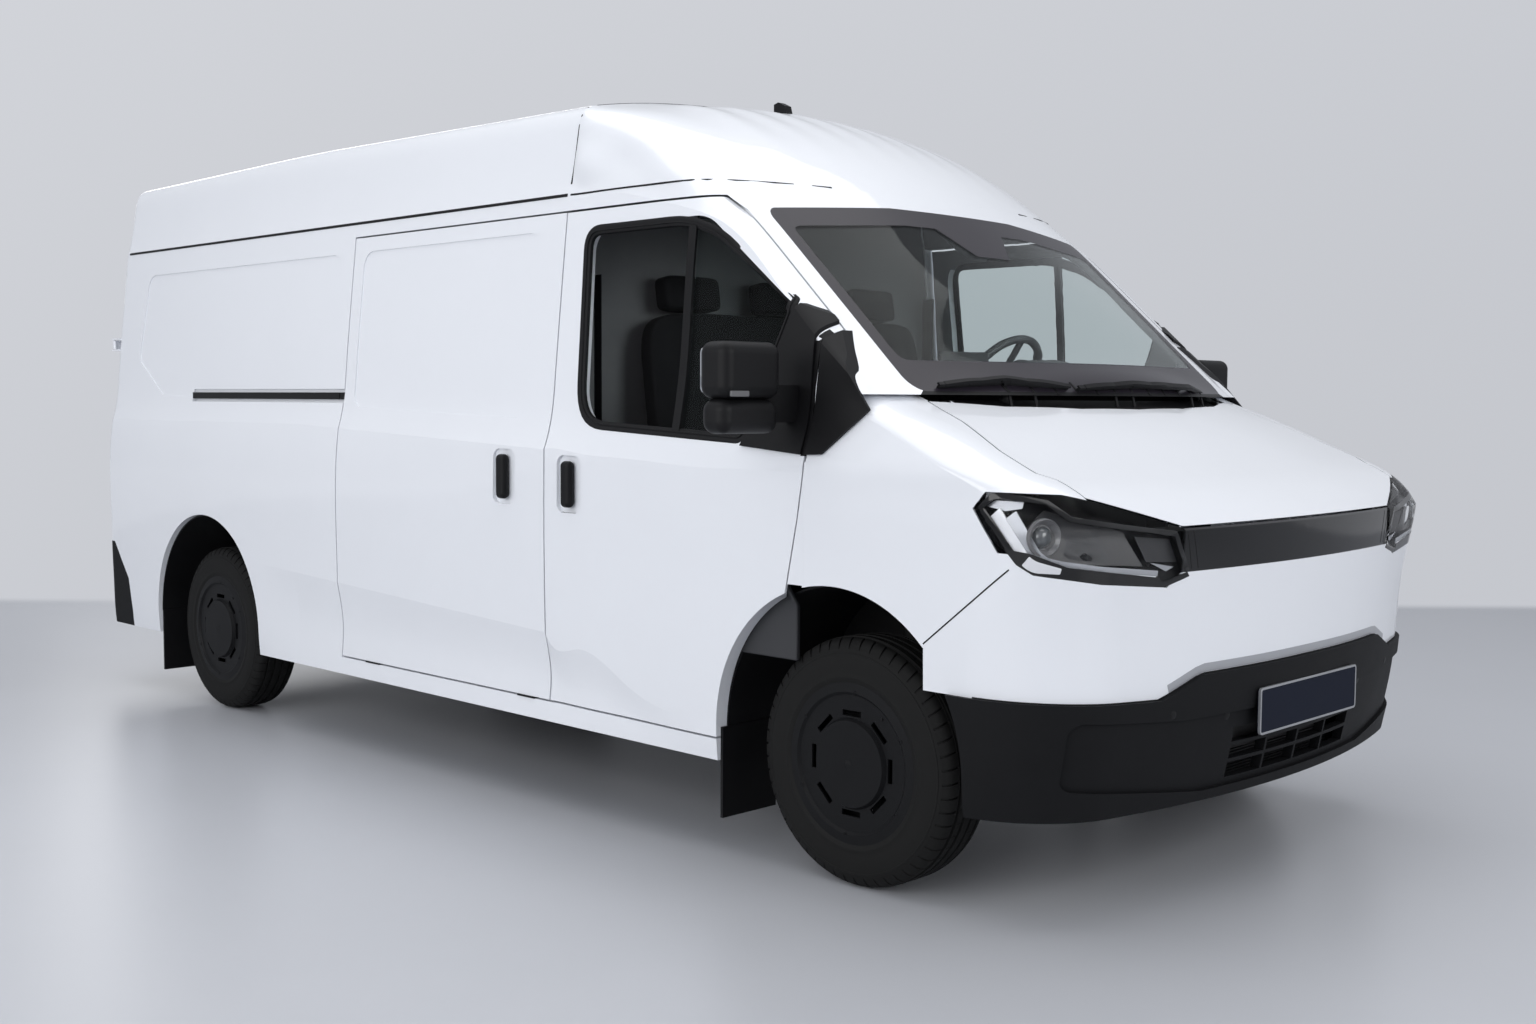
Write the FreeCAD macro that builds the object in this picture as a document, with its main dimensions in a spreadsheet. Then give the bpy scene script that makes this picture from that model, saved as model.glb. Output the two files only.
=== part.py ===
import FreeCAD, Part
import math
import os
import Sketcher

# Panel van with a high roof. Lengths are millimetres. Every sub-part is drawn in a frame with X forward,
# Y to the left, Z up and its origin on the ground below the front axle, then placed so that the van's
# middle stands over the origin.

V = FreeCAD.Vector
DOC = FreeCAD.newDocument("panel_van")
SHEET = DOC.addObject("Spreadsheet::Sheet", "sizes")

# Driving sizes
SIZES = {
    "wheelbase": 3570, "roof_height": 2362, "half_width": 1030, "front_axle_place": 1854,
    "tyre_radius": 342, "tyre_width": 195, "rim_radius": 203, "cover_radius": 222, "wheel_y": 877,
    "cover_depth": 14, "cover_disc_radius": 118, "cover_slot_width": 16, "cover_slots": 8, "rim_wall": 8,
    "hub_radius": 60, "rim_face": 104, "cover_step": 7, "disc_place": 28, "tyre_wall": 139,
    "cover_slot_length": 66, "knuckle_width": 80, "knuckle_inner": 60, "knuckle_drop": 100,
    "knuckle_rise": 110, "joint_gap": 0.4, "rail_end_inset": 90, "leaf_rise": 46, "subframe_length": 240,
    "strut_inset": 100, "hub_length": 60, "stub_radius": 24, "kingpin_y": 800, "kingpin_radius": 14,
    "kingpin_rise": 30, "tow_hole_radius": 6.5, "tow_hole_place": 241, "tow_hole_pitch": 50,
    "lash_hole_radius": 4.25, "lash_place": -2450, "lash_length": 1000, "lash_width": 1200, "skin": 45,
    "panel_gap": 6, "door_gap": 7, "overrun": 400, "glass_depth": 10, "glass_thick": 5, "door_taper": 32,
    "door_skin": 8, "rear_corner": 60, "nose_skin": 6, "emboss_depth": 4, "emboss_corner": 60,
    "grille_columns": 4, "grille_rows": 3, "grille_bar": 10, "sail_proud": 9, "lamp_depth": 22,
    "mirror_stand": 62, "arch_radius": 448, "arch_rise": 36, "arch_back": 24, "sill_bottom": 282,
    "sill_top": 345, "floor_top": 560, "floor_thick": 30, "bulkhead_thick": 28, "fit_clearance": 0.4,
    "rail_half_gap": 430, "rail_width": 70, "rail_height": 130, "cross_size": 80, "axle_radius": 45,
    "leaf_width": 70, "leaf_thick": 22, "leaf_half_length": 640, "leaf_y": 560, "drive_length": 420,
    "drive_width": 380, "drive_height": 330, "pack_length": 1700, "pack_width": 780, "pack_height": 150,
    "seat_width": 480, "bench_width": 880, "seat_length": 430, "cushion_thick": 150, "back_thick": 100,
    "back_height": 770, "seat_base_height": 300, "seat_front": -640, "seat_y": 450, "back_lean": 8,
    "headrest_width": 260, "headrest_height": 170, "wheel_ring_radius": 190, "wheel_ring_tube": 15,
    "steer_x": -560, "steer_y": 430, "steer_z": 1370, "steer_tilt": 32, "steer_hub_radius": 70,
    "column_radius": 22, "column_length": 200, "shroud_radius": 42, "shroud_length": 110,
    "hinge_forward": 45, "hinge_inward": 20, "hinge_pin": 5, "hinge_barrel": 9, "hinge_height": 50,
    "hinge_arm": 8, "hinge_reach": 105, "hinge_run": 190, "hinge_foot": 30, "hinge_gap": 1, "hinge_sink": 3,
    "pin_clearance": 0.05, "hinge_low_place": 985, "hinge_high_place": 1125, "post_width": 60,
    "pillar_width": 58, "bonnet_hinge_x": 125, "bonnet_hinge_y": 721, "bonnet_hinge_z": 1312,
    "bonnet_arm_run": 140, "bonnet_arm_drop": 56, "pocket_width": 60, "pocket_depth": 30, "cowl_drop": 14,
    "pedestal_inset": 40, "rear_hinge_out": 80, "rear_hinge_back": 14, "rear_strap_height": 40,
    "strap_thick": 8, "lug_depth": 60, "rear_leaf_reach": 70, "mirror_length": 215, "mirror_depth": 110,
    "mirror_height": 150, "mirror_lower_height": 92, "mirror_corner": 32, "mirror_arm": 34,
    "handle_width": 46, "handle_height": 146, "handle_depth": 34, "handle_corner": 16, "recess_depth": 12,
    "recess_width": 120, "recess_height": 180, "track_height": 52, "track_depth": 16, "rail_bar_height": 26,
    "carriage_length": 60, "guide_length": 90, "antenna_length": 70, "antenna_height": 38,
    "antenna_width": 34, "bumper_proud": 14, "bumper_skin": 40, "carrier_depth": 60, "flap_width": 220,
    "flap_height": 170, "flap_thick": 10, "liner_thick": 6, "lamp_extra": 50, "bar_recess": 4,
    "dash_half_width": 860, "strut_radius": 30, "arm_thick": 34, "screen_corner": 40, "recess_corner": 30,
    "seat_corner": 25, "rib_count": 8, "rib_pitch": 150, "rib_height": 6, "pocket_recess": 12,
    "pocket_corner": 34, "press_depth": 5, "press_corner": 50, "beam_gap": 0.6,
}
for row, (name, value) in enumerate(SIZES.items(), 1):
    SHEET.set("A%d" % row, name)
    SHEET.set("B%d" % row, str(value))
    SHEET.setAlias("B%d" % row, name)
DOC.recompute()


def size(name):
    """Value of one cell of the sheet."""
    return float(SHEET.get(name))


def along(share):
    """Place along the van, as a share of the wheelbase, forward of the front axle."""
    return share * size("wheelbase")


def up(share):
    """Height as a share of the roof's height."""
    return share * size("roof_height")


def out(share):
    """Distance from the middle plane as a share of half the body's width."""
    return share * size("half_width")


def between(table, place):
    """Value at a place in a table of (place, value) rows, straight between rows and level past its ends."""
    if place <= table[0][0]:
        return table[0][1]
    for (a, low), (b, high) in zip(table, table[1:]):
        if place <= b:
            return low + (high - low) * (place - a) / (b - a)
    return table[-1][1]


# Outlines and prisms

def side_point(a, b):
    return V(a, 0, b)


def front_point(a, b):
    return V(0, a, b)


def plan_point(a, b):
    return V(a, b, 0)


def outline(points, place, base=None):
    """Closed wire through (a, b) or (a, b, radius) corners, each corner rounded by its radius."""
    base = base or V()
    ends = []
    count = len(points)
    for i, point in enumerate(points):
        here = place(point[0], point[1])
        before = place(*points[i - 1][:2])
        after = place(*points[(i + 1) % count][:2])
        radius = point[2] if len(point) > 2 else 0
        if not radius:
            ends.append((here, here, here))
            continue
        first = (before - here).normalize()
        second = (after - here).normalize()
        half = math.acos(max(-1, min(1, first.dot(second)))) / 2
        reach = radius / math.tan(half)
        middle = here + (first + second).normalize() * (radius / math.sin(half) - radius)
        ends.append((here + first * reach, middle, here + second * reach))
    edges = []
    for i, (start, middle, end) in enumerate(ends):
        if (start - end).Length:
            edges.append(Part.Arc(base + start, base + middle, base + end).toShape())
        edges.append(Part.makeLine(base + end, base + ends[(i + 1) % count][0]))
    return Part.Wire(edges)


def prism(points, place, base, reach):
    """Solid drawn by an outline moved along a vector."""
    return Part.Face(outline(points, place, base)).extrude(reach)


def side_prism(points, low, high):
    return prism(points, side_point, V(0, low, 0), V(0, high - low, 0))


def front_prism(points, low, high):
    return prism(points, front_point, V(low, 0, 0), V(high - low, 0, 0))


def plan_prism(points, low, high):
    return prism(points, plan_point, V(0, 0, low), V(0, 0, high - low))


STRAIGHT_SHARE = 1e-6


def shrunk(points, distance):
    """The same outline with every side moved inwards by a distance and its corners kept round."""
    count = len(points)
    area = sum(points[i - 1][0] * points[i][1] - points[i][0] * points[i - 1][1] for i in range(count))
    turn = 1 if area > 0 else -1
    sides = []
    for i in range(count):
        (ax, az), (bx, bz) = points[i - 1][:2], points[i][:2]
        length = math.hypot(bx - ax, bz - az)
        nx, nz = -turn * (bz - az) / length, turn * (bx - ax) / length
        sides.append((ax + nx * distance, az + nz * distance, bx - ax, bz - az))
    moved = []
    for i in range(count):
        x1, z1, dx1, dz1 = sides[i]
        x2, z2, dx2, dz2 = sides[(i + 1) % count]
        cross = dx1 * dz2 - dz1 * dx2
        straight_on = abs(cross) < STRAIGHT_SHARE * (abs(dx1 * dx2) + abs(dz1 * dz2))
        step = 1 if straight_on else ((x2 - x1) * dz2 - (z2 - z1) * dx2) / cross
        radius = points[i][2] if len(points[i]) > 2 else 0
        moved.append((x1 + dx1 * step, z1 + dz1 * step, max(radius - distance, 0)))
    return moved


def block(x_low, x_high, y_low, y_high, z_low, z_high):
    return Part.makeBox(x_high - x_low, y_high - y_low, z_high - z_low, V(x_low, y_low, z_low))


def mirrored(shape):
    return shape.mirror(V(), V(0, 1, 0))


def both(shape):
    """The shape and its mirror image as two solids of one piece."""
    return Part.makeCompound([shape, mirrored(shape)])


def keep(label, shape):
    """One sub-part with a label, a shape and a place."""
    piece = DOC.addObject("Part::Feature", label)
    piece.Label = label
    piece.Shape = shape
    piece.setExpression("Placement.Base.x", "sizes.front_axle_place")
    return piece


# Load space and cab envelope, lofted through cross sections

SIDE_SHARES = [(0.119, 0.985), (0.140, 0.990), (0.190, 0.993), (0.254, 0.997), (0.339, 1.0), (0.423, 1.0),
               (0.495, 0.998), (0.531, 0.970), (0.550, 0.962), (0.652, 0.938), (0.720, 0.923), (0.813, 0.900),
               (0.834, 0.895)]
ROOF_SHARES = [(-1.272, 0.989), (-1.204, 0.995), (-0.952, 0.999), (-0.672, 1.0), (-0.476, 1.0),
               (-0.364, 0.993), (-0.308, 0.978), (-0.252, 0.953), (-0.196, 0.910), (-0.154, 0.862), (-0.120, 0.814),
               (-0.084, 0.764), (-0.028, 0.686), (0.028, 0.609), (0.070, 0.551)]
GUTTER_SHARES = [(-0.354, 0.834), (-0.308, 0.831), (-0.252, 0.819), (-0.196, 0.799), (-0.154, 0.778),
                 (-0.120, 0.746), (-0.084, 0.696), (-0.028, 0.618), (0.028, 0.541), (0.070, 0.483)]
CREASE_SHARES = [(-0.868, 0.277), (-0.336, 0.241), (-0.196, 0.169)]
BELT_SHARES = [(-0.700, 0.516), (-0.154, 0.477)]
GLASS_BLEND_SHARES = [(-0.364, 0), (-0.308, 0.15), (-0.252, 0.35), (-0.196, 0.6), (-0.154, 0.85), (-0.120, 1)]
FLUTE_SHARES = [(-0.882, 0), (-0.798, 1), (-0.322, 1), (-0.168, 0)]
BOX_TOP_SHARES = [(1, 0), (0.978, 0.23), (0.958, 0.535), (0.945, 0.69), (0.926, 0.77), (0.869, 0.822),
                  (0.651, 0.906), (0.326, 0.975), (0, 1)]
SCREEN_TOP_SHARES = [(1, 0), (0.990, 0.055), (0.970, 0.115), (0.93, 0.195), (0.84, 0.345), (0.63, 0.62),
                     (0.42, 0.83), (0.21, 0.957), (0, 1)]
LOW_STEP_SHARES = [(0, 0), (0.2, 0.5), (0.5, 1), (0.8, 0.6), (1, 0)]
MIDDLE_STEP_SHARES = [0, 0.33, 0.66, 1]
UPPER_STEP_SHARES = [0, 0.12, 0.3, 0.65, 1]
FLUTE_DEPTH_SHARE = 0.018
LOAD_STATION_SHARES = [-1.238, -0.882, -0.798, -0.354]
CAB_STATION_SHARES = [-0.354, -0.308, -0.252, -0.196, -0.154, -0.120, -0.084, -0.028, 0.028, 0.070]
REAR_SHARE = -1.272
SPLIT_SHARE = -0.354


def half_width_at(z, inset):
    return out(between(SIDE_SHARES, z / size("roof_height"))) - inset


def curve(points):
    """Smooth edge through the points."""
    if len(points) == 2:
        return Part.makeLine(*points)
    line = Part.BSplineCurve()
    line.interpolate(points)
    return line.toShape()


RIB_FADE_SHARES = [(-0.354, 0), (-0.308, 1), (-0.252, 0.75), (-0.196, 0.2), (-0.154, 0)]
RIB_CURVE_POINTS = 4
RIB_OUTER_POINTS = 6


def even_height(points, y):
    """Height at one side place on the curve, even in that place, that passes through the points."""
    total = 0
    for i, (place, height) in enumerate(points):
        weight = 1
        for j, (other, _) in enumerate(points):
            if j != i:
                weight *= (y * y - other * other) / (place * place - other * other)
        total += height * weight
    return total


def ribbed(crown, rise):
    """The crown with every second point of its middle lifted, so that it waves in long ribs."""
    middle = crown[-RIB_CURVE_POINTS:]
    waves = []
    for i in range(int(size("rib_count")), -1, -1):
        y = i * size("rib_pitch") / 2
        waves.append((y, even_height(middle, y) + (rise if i % 2 else 0)))
    return crown[:RIB_OUTER_POINTS] + waves


def section(x, inset, bottom, rib=0):
    """Closed cross section of the body at one station, smaller by the inset, with ribs on its crown."""
    share = x / size("wheelbase")
    crease = up(between(CREASE_SHARES, share))
    belt = up(between(BELT_SHARES, share))
    gutter = up(between(GUTTER_SHARES, share)) - inset
    top = up(between(ROOF_SHARES, share)) - inset
    blend = between(GLASS_BLEND_SHARES, share)
    flute = out(FLUTE_DEPTH_SHARE) * between(FLUTE_SHARES, share)
    low = []
    for step, depth in LOW_STEP_SHARES:
        z = bottom + (crease - bottom) * step
        low.append((half_width_at(z, inset) - flute * depth, z))
    middle = []
    for step in MIDDLE_STEP_SHARES:
        z = crease + (belt - crease) * step
        middle.append((half_width_at(z, inset), z))
    upper = []
    for step in UPPER_STEP_SHARES:
        z = belt + (gutter - belt) * step
        upper.append((half_width_at(z, inset), z))
    shoulder = upper[-1][0]
    crown = []
    for (box_y, box_z), (screen_y, screen_z) in zip(BOX_TOP_SHARES, SCREEN_TOP_SHARES):
        y = shoulder * (box_y + (screen_y - box_y) * blend)
        z = gutter + (top - gutter) * (box_z + (screen_z - box_z) * blend)
        crown.append((y, z))
    rise = rib * between(RIB_FADE_SHARES, share)
    if rise:
        crown = ribbed(crown, rise)
    right = [[V(x, -y, z) for y, z in run] for run in (low, middle, upper)]
    left = [[V(x, y, z) for y, z in reversed(run)] for run in (upper, middle, low)]
    arch = [V(x, -y, z) for y, z in crown] + [V(x, y, z) for y, z in reversed(crown[:-1])]
    edges = [curve(run) for run in right] + [curve(arch)] + [curve(run) for run in left]
    edges.append(Part.makeLine(left[-1][-1], right[0][0]))
    return Part.Wire(edges)


CORNER_TURNS = [0, 25, 50, 75]


def load_envelope(inset, bottom, rear_inset):
    """Body behind the cab, with its rear edge rounded all round."""
    radius = size("rear_corner")
    rear = along(REAR_SHARE) + rear_inset
    stations = []
    for turn in CORNER_TURNS:
        angle = math.radians(turn)
        place = rear + radius * (1 - math.cos(angle))
        stations.append(section(place, inset + radius * (1 - math.sin(angle)), bottom))
    straight = [section(rear + radius, inset, bottom)]
    straight += [section(along(share), inset, bottom) for share in LOAD_STATION_SHARES[1:]]
    corner = Part.makeLoft(stations + straight[:1], True, False)
    return corner, Part.makeLoft(straight, True, True)


def cab_envelope(inset, bottom, rib=0):
    sections = [section(along(share), inset, bottom, rib) for share in CAB_STATION_SHARES]
    return Part.makeLoft(sections, True, False)


skin = size("skin")
low_end = size("sill_bottom")
corner_out, load_out = load_envelope(0, low_end, 0)
corner_in, load_in = load_envelope(skin, low_end - skin, skin)
cab_out = cab_envelope(0, low_end)
cab_in = cab_envelope(skin, low_end - skin)
load_solid = corner_out.fuse(load_out)
load_hollow = corner_in.fuse(load_in)
load_shell = load_solid.cut(load_hollow)
cab_shell = cab_out.cut(cab_in)

# Front end envelope, lofted through level outlines

NOSE_LEVEL_SHARES = [0.1207, 0.1905, 0.254, 0.3387, 0.381, 0.4234, 0.4424, 0.4636, 0.4869, 0.5123, 0.5377,
                     0.5546, 0.5660]
NOSE_PLACE_SHARES = [(0.1207, 0.216), (0.1905, 0.225), (0.254, 0.2295), (0.3387, 0.2295), (0.381, 0.229),
                     (0.4234, 0.2285), (0.4424, 0.2140), (0.4636, 0.1930), (0.4869, 0.1610), (0.5123, 0.1270),
                     (0.5377, 0.0925), (0.5546, 0.0685), (0.5660, 0.0506)]
NOSE_CROWN_SHARES = [(0.254, 0.92), (0.3387, 1.06), (0.381, 1.26), (0.4234, 1.46), (0.4424, 1.96),
                     (0.4636, 2.5), (0.4869, 2.0), (0.5123, 1.4), (0.5377, 1.06), (0.5546, 0.84), (0.5660, 0.81)]
NOSE_CORNER_SHARES = [(0.254, 0.295), (0.3387, 0.265), (0.381, 0.226), (0.4234, 0.187), (0.4424, 0.177),
                      (0.4636, 0.167), (0.4869, 0.165), (0.5123, 0.155), (0.5377, 0.145), (0.5546, 0.138),
                      (0.5660, 0.127)]
NOSE_BACK_SHARE = -0.20


def nose_level(share, inset, proud):
    """Level outline of the front end: side, rounded corner, crowned front, corner, side."""
    z = up(share)
    half = half_width_at(z, inset - proud)
    front = along(between(NOSE_PLACE_SHARES, share)) - inset + proud
    crown = along(between(NOSE_CROWN_SHARES, share))
    corner = out(between(NOSE_CORNER_SHARES, share)) - inset + proud
    back = along(NOSE_BACK_SHARE)
    rise = (half - corner) / (crown - corner)
    turn = math.asin(rise)
    middle_x = front - crown
    corner_x = middle_x + (crown - corner) * math.cos(turn)
    corner_y = half - corner

    def on_corner(angle):
        return corner_x + corner * math.cos(angle), corner_y + corner * math.sin(angle)

    join = on_corner(turn)
    bend = on_corner((turn + math.pi / 2) / 2)
    side = (corner_x, half)
    edges = [Part.makeLine(V(back, -half, z), V(side[0], -half, z)),
             Part.Arc(V(side[0], -half, z), V(bend[0], -bend[1], z), V(join[0], -join[1], z)).toShape(),
             Part.Arc(V(join[0], -join[1], z), V(front, 0, z), V(join[0], join[1], z)).toShape(),
             Part.Arc(V(join[0], join[1], z), V(bend[0], bend[1], z), V(side[0], half, z)).toShape(),
             Part.makeLine(V(side[0], half, z), V(back, half, z)),
             Part.makeLine(V(back, half, z), V(back, -half, z))]
    return Part.Wire(edges)


def nose_envelope(inset, proud, drop):
    """Front end up to the windscreen's foot, smaller by the inset, larger by proud and lower by drop."""
    front = [nose_level(share, inset, proud) for share in NOSE_LEVEL_SHARES[:6]]
    hood = [nose_level(share, inset, proud) for share in NOSE_LEVEL_SHARES[5:]]
    low = Part.makeLoft(front, True, False)
    high = Part.makeLoft(hood, True, False)
    body = low.fuse(high)
    body.translate(V(0, 0, -drop))
    return body


nose_out = nose_envelope(0, 0, 0)
nose_in = nose_envelope(size("nose_skin"), 0, 0)
nose_shell = nose_out.cut(nose_in)

# Regions of the body that the panels are cut from

gap = size("panel_gap")
over = size("overrun")
far = size("half_width") + over
gutter = up(SIDE_SHARES[-1][0])
roof_top = size("roof_height")
split = along(SPLIT_SHARE)
rear_end = along(REAR_SHARE)
sill_low = size("sill_bottom")
sill_top = size("sill_top")
floor_top = size("floor_top")
floor_low = floor_top - size("floor_thick")

DOOR_LINE_SHARES = [(-0.0532, 0.10), (-0.0532, 0.3294), (-0.0403, 0.4217), (-0.0330, 0.4949),
                    (-0.0345, 0.5728), (-0.0310, 0.6418), (-0.0443, 0.6723), (-0.1171, 0.7659),
                    (-0.165, 0.8129), (-0.3543, 0.8129), (-0.3543, 0.146), (-0.3543, 0.10)]
SLIDE_LINE_SHARES = [(-0.3523, 0.146), (-0.3523, 0.8129), (-0.7080, 0.8129), (-0.7080, 0.146)]
WINDOW_SHARES = [(-0.325, 0.787), (-0.168, 0.787), (-0.0625, 0.668), (-0.105, 0.509), (-0.318, 0.524)]
WINDOW_CORNER_SHARES = [0.07, 0.16, 0.03, 0.03, 0.13]
DIVIDER_SHARES = [(-0.190, 0.49), (-0.181, 0.49), (-0.181, 0.80), (-0.190, 0.80)]
EMBOSS_SHARES = [(-1.130, 0.563), (-1.201, 0.629), (-1.189, 0.788), (-0.730, 0.788), (-0.730, 0.547)]
DOOR_EMBOSS_SHARES = [(-0.688, 0.545), (-0.688, 0.788), (-0.388, 0.788), (-0.388, 0.532)]
BUMPER_END_SHARES = [(-1.30, 0.10), (-1.206, 0.10), (-1.206, 0.149), (-1.214, 0.210), (-1.250, 0.279),
                     (-1.30, 0.279)]
REAR_DOOR_SHARES = [(0.86, 0.281), (0.86, 0.530), (0.815, 0.780), (0.775, 0.925), (0, 0.925), (0, 0.281)]
REAR_DOOR_CORNER_SHARE = 0.09
HOOD_SIDE_SHARES = [(0.030, 0.775), (0.070, 0.800), (0.115, 0.853), (0.150, 0.872), (0.1625, 0.845)]
HOOD_REAR_SHARES = [(0.030, 0.775), (0.055, 0.55), (0.070, 0.27), (0.0745, 0)]
HOOD_EDGE_SHARES = [(0, 0.4255), (0.58, 0.4255), (0.845, 0.458), (0.90, 0.4640)]
LAMP_FRONT_SHARES = [(0.585, 0.3790), (0.640, 0.3640), (0.930, 0.3850), (1.10, 0.4300), (1.10, 0.4680),
                     (0.90, 0.4640), (0.845, 0.4580), (0.58, 0.4255)]
LAMP_SIDE_SHARES = [(0.124, 0.448), (0.140, 0.475), (0.30, 0.475), (0.30, 0.33), (0.155, 0.33),
                    (0.155, 0.384)]
BAR_SHARES = [(-0.58, 0.4255), (0.58, 0.4255), (0.585, 0.3790), (-0.585, 0.3790)]
FASCIA_LINE_SHARES = [(0.082, 0.10), (0.082, 0.299), (0.155, 0.3874), (0.155, 0.430), (0.40, 0.430),
                      (0.40, 0.10)]
BUMPER_TOP_SHARES = [(-1.2, 0.252), (-0.640, 0.2435), (-0.495, 0.2660), (0, 0.2670), (0.495, 0.2660),
                     (0.640, 0.2435), (1.2, 0.252), (1.2, 0.05), (-1.2, 0.05)]
FOOT_SHARE = 0.566
FRONT_PILLAR_SHARE = -0.036
FIREWALL_SHARE = -0.010
firewall_x = along(FIREWALL_SHARE)
ARCH_WALL_SHARE = 0.60
DOOR_DEPTH_SHARE = 0.5
door_depth = -out(DOOR_DEPTH_SHARE)
POST_SHARE = 0.86


def at_side(shares):
    return [(along(a), up(b)) for a, b in shares]


def at_front(shares):
    return [(out(a), up(b)) for a, b in shares]


def arch_cut(x, more=0):
    """Wheel opening through one side: a round arch over the axle with straight walls below its centre."""
    radius = size("arch_radius") + more
    centre = V(x - size("arch_back"), -far, size("tyre_radius") + size("arch_rise"))
    round_part = Part.makeCylinder(radius, over + far - out(ARCH_WALL_SHARE), centre, V(0, 1, 0))
    low_part = block(centre.x - radius, centre.x + radius, -far,
                     over - out(ARCH_WALL_SHARE), -over, centre.z)
    return round_part.fuse(low_part)


front_arch = arch_cut(0)
rear_arch = arch_cut(-size("wheelbase"))
right_half = block(rear_end - over, size("wheelbase"), -far, 0, -over, roof_top + over)


def rounded_block(x, y, z, length, width, height, radius):
    """Block centred on a point with all its edges rounded."""
    body = Part.makeBox(length, width, height, V(x - length / 2, y - width / 2, z - height / 2))
    return body.makeFillet(radius, body.Edges)


def handle(x, z):
    """Upright grip that stands on the door's skin over a shallow recess."""
    y = -half_width_at(z, 0)
    return rounded_block(x, y + size("recess_depth") - size("handle_depth") / 2, z, size("handle_width"),
                         size("handle_depth"), size("handle_height"), size("handle_corner"))


def recess(x, z):
    """Rounded dish in the skin behind a handle."""
    half_w, half_h = size("recess_width") / 2, size("recess_height") / 2
    corner = size("recess_corner")
    points = [(x - half_w, z - half_h, corner), (x + half_w, z - half_h, corner),
              (x + half_w, z + half_h, corner), (x - half_w, z + half_h, corner)]
    return side_prism(points, -far, -half_width_at(z, size("recess_depth")))


SLIDE_HANDLE_SHARES = (-0.4132, 0.4515)
DOOR_HANDLE_SHARES = (-0.318, 0.446)
slide_handle_place = at_side([SLIDE_HANDLE_SHARES])[0]
door_handle_place = at_side([DOOR_HANDLE_SHARES])[0]

# Load space panels

roof_zone = block(rear_end - over, split, -far, far, gutter, roof_top + over)
rear_outline = [(a, b, out(REAR_DOOR_CORNER_SHARE) if i == 3 else 0)
                for i, (a, b) in enumerate(at_front(REAR_DOOR_SHARES))]
rear_opening_left = front_prism(rear_outline, rear_end - over, rear_end + size("rear_corner"))
rear_opening = rear_opening_left.fuse(mirrored(rear_opening_left))
bumper_zone = side_prism(at_side(BUMPER_END_SHARES), -far, far)
rear_bumper = load_shell.common(bumper_zone)
keep("rear_bumper", rear_bumper)
keep("roof_rear", load_shell.common(roof_zone).cut(rear_opening))

rear_leaf = front_prism(shrunk(rear_outline, gap), rear_end - over, rear_end + size("rear_corner"))
rear_leaf = rear_leaf.common(load_shell)
rear_x = rear_end - size("rear_hinge_back")
rear_y = out(REAR_DOOR_SHARES[0][0]) + size("rear_hinge_out")
strap_half = size("rear_strap_height") / 2
strap_low = size("strap_thick") / 2
leaf_reach = size("rear_leaf_reach")


def rear_rod(z, half_height, radius):
    return Part.makeCylinder(radius, 2 * half_height, V(rear_x, rear_y, z - half_height))


def rear_strap(z):
    """Barrel and strap that carry one rear leaf, with the strap's pad on the leaf."""
    edge = out(between([(b, a) for a, b in REAR_DOOR_SHARES[:4]], z / size("roof_height")))
    barrel = rear_rod(z, strap_half, size("hinge_barrel"))
    strap = block(rear_x - strap_low, rear_x + strap_low, edge - leaf_reach, rear_y, z - strap_half,
                  z + strap_half)
    pad = block(rear_x - strap_low, rear_end + size("hinge_sink"), edge - leaf_reach, edge - leaf_reach / 2,
                z - strap_half, z + strap_half)
    return barrel.fuse([strap, pad]).cut(rear_rod(z, strap_half, size("hinge_pin") + size("pin_clearance")))


def rear_lugs(z):
    """Two plates of the side panel with the pin between them."""
    radius = size("hinge_barrel")
    away = strap_half + size("hinge_gap")
    plates = [block(rear_x - radius, rear_end + skin, rear_y - size("lug_depth"), rear_y + radius, a,
                    a + size("strap_thick")) for a in (z - away - size("strap_thick"), z + away)]
    return rear_rod(z, away, size("hinge_pin")).fuse(plates)


REAR_HINGE_SHARES = [0.31, 0.66]
rear_hinge_places = [up(share) for share in REAR_HINGE_SHARES]
PRESS_SHARES = [[(0.095, 0.555), (0.745, 0.555), (0.690, 0.800), (0.095, 0.860)],
                [(0.095, 0.330), (0.770, 0.330), (0.770, 0.500), (0.095, 0.500)]]
for shares in PRESS_SHARES:
    pressing = [(a, b, size("press_corner")) for a, b in at_front(shares)]
    rear_leaf = rear_leaf.cut(front_prism(pressing, rear_end - over, rear_end + size("press_depth")))
rear_leaf = rear_leaf.fuse([rear_strap(z) for z in rear_hinge_places])
keep("rear_door_left", rear_leaf)
keep("rear_door_right", mirrored(rear_leaf))

side_rest = load_shell.cut(roof_zone).cut(rear_opening).cut(bumper_zone).common(right_half)
LAMP_POST_SHARES = [(-0.875, 0.33), (-1.2, 0.33), (-1.2, 0.52), (-0.875, 0.52)]
lamp_post_zone = front_prism(at_front(LAMP_POST_SHARES), rear_end - over, rear_end + size("lamp_depth"))
tail_lamp = side_rest.common(lamp_post_zone)
side_rest = side_rest.cut(rear_arch).cut(lamp_post_zone)
SILL_FRONT_SHARE = -0.124
SILL_SIDE_SHARE = 0.952
SILL_WEB_SHARE = 0.925
SILL_INNER_SHARE = 0.875
sill_back = -size("wheelbase") + size("arch_radius") / 2
sill_reach = along(SILL_FRONT_SHARE)
sill_inner = -out(SILL_INNER_SHARE)
load_sill = block(sill_back, sill_reach, -out(SILL_SIDE_SHARE), sill_inner, sill_low, sill_top).fuse(
    block(sill_back, sill_reach, -out(SILL_WEB_SHARE), sill_inner, sill_low, floor_low))
cab_sill = cab_shell.common(block(split, size("wheelbase"), -far, 0, -over, sill_top)).cut(front_arch)
load_sill = load_sill.cut(rear_arch).cut(front_arch)
emboss_skin = load_solid.cut(load_envelope(size("emboss_depth"), low_end - skin, skin)[1])


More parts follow.
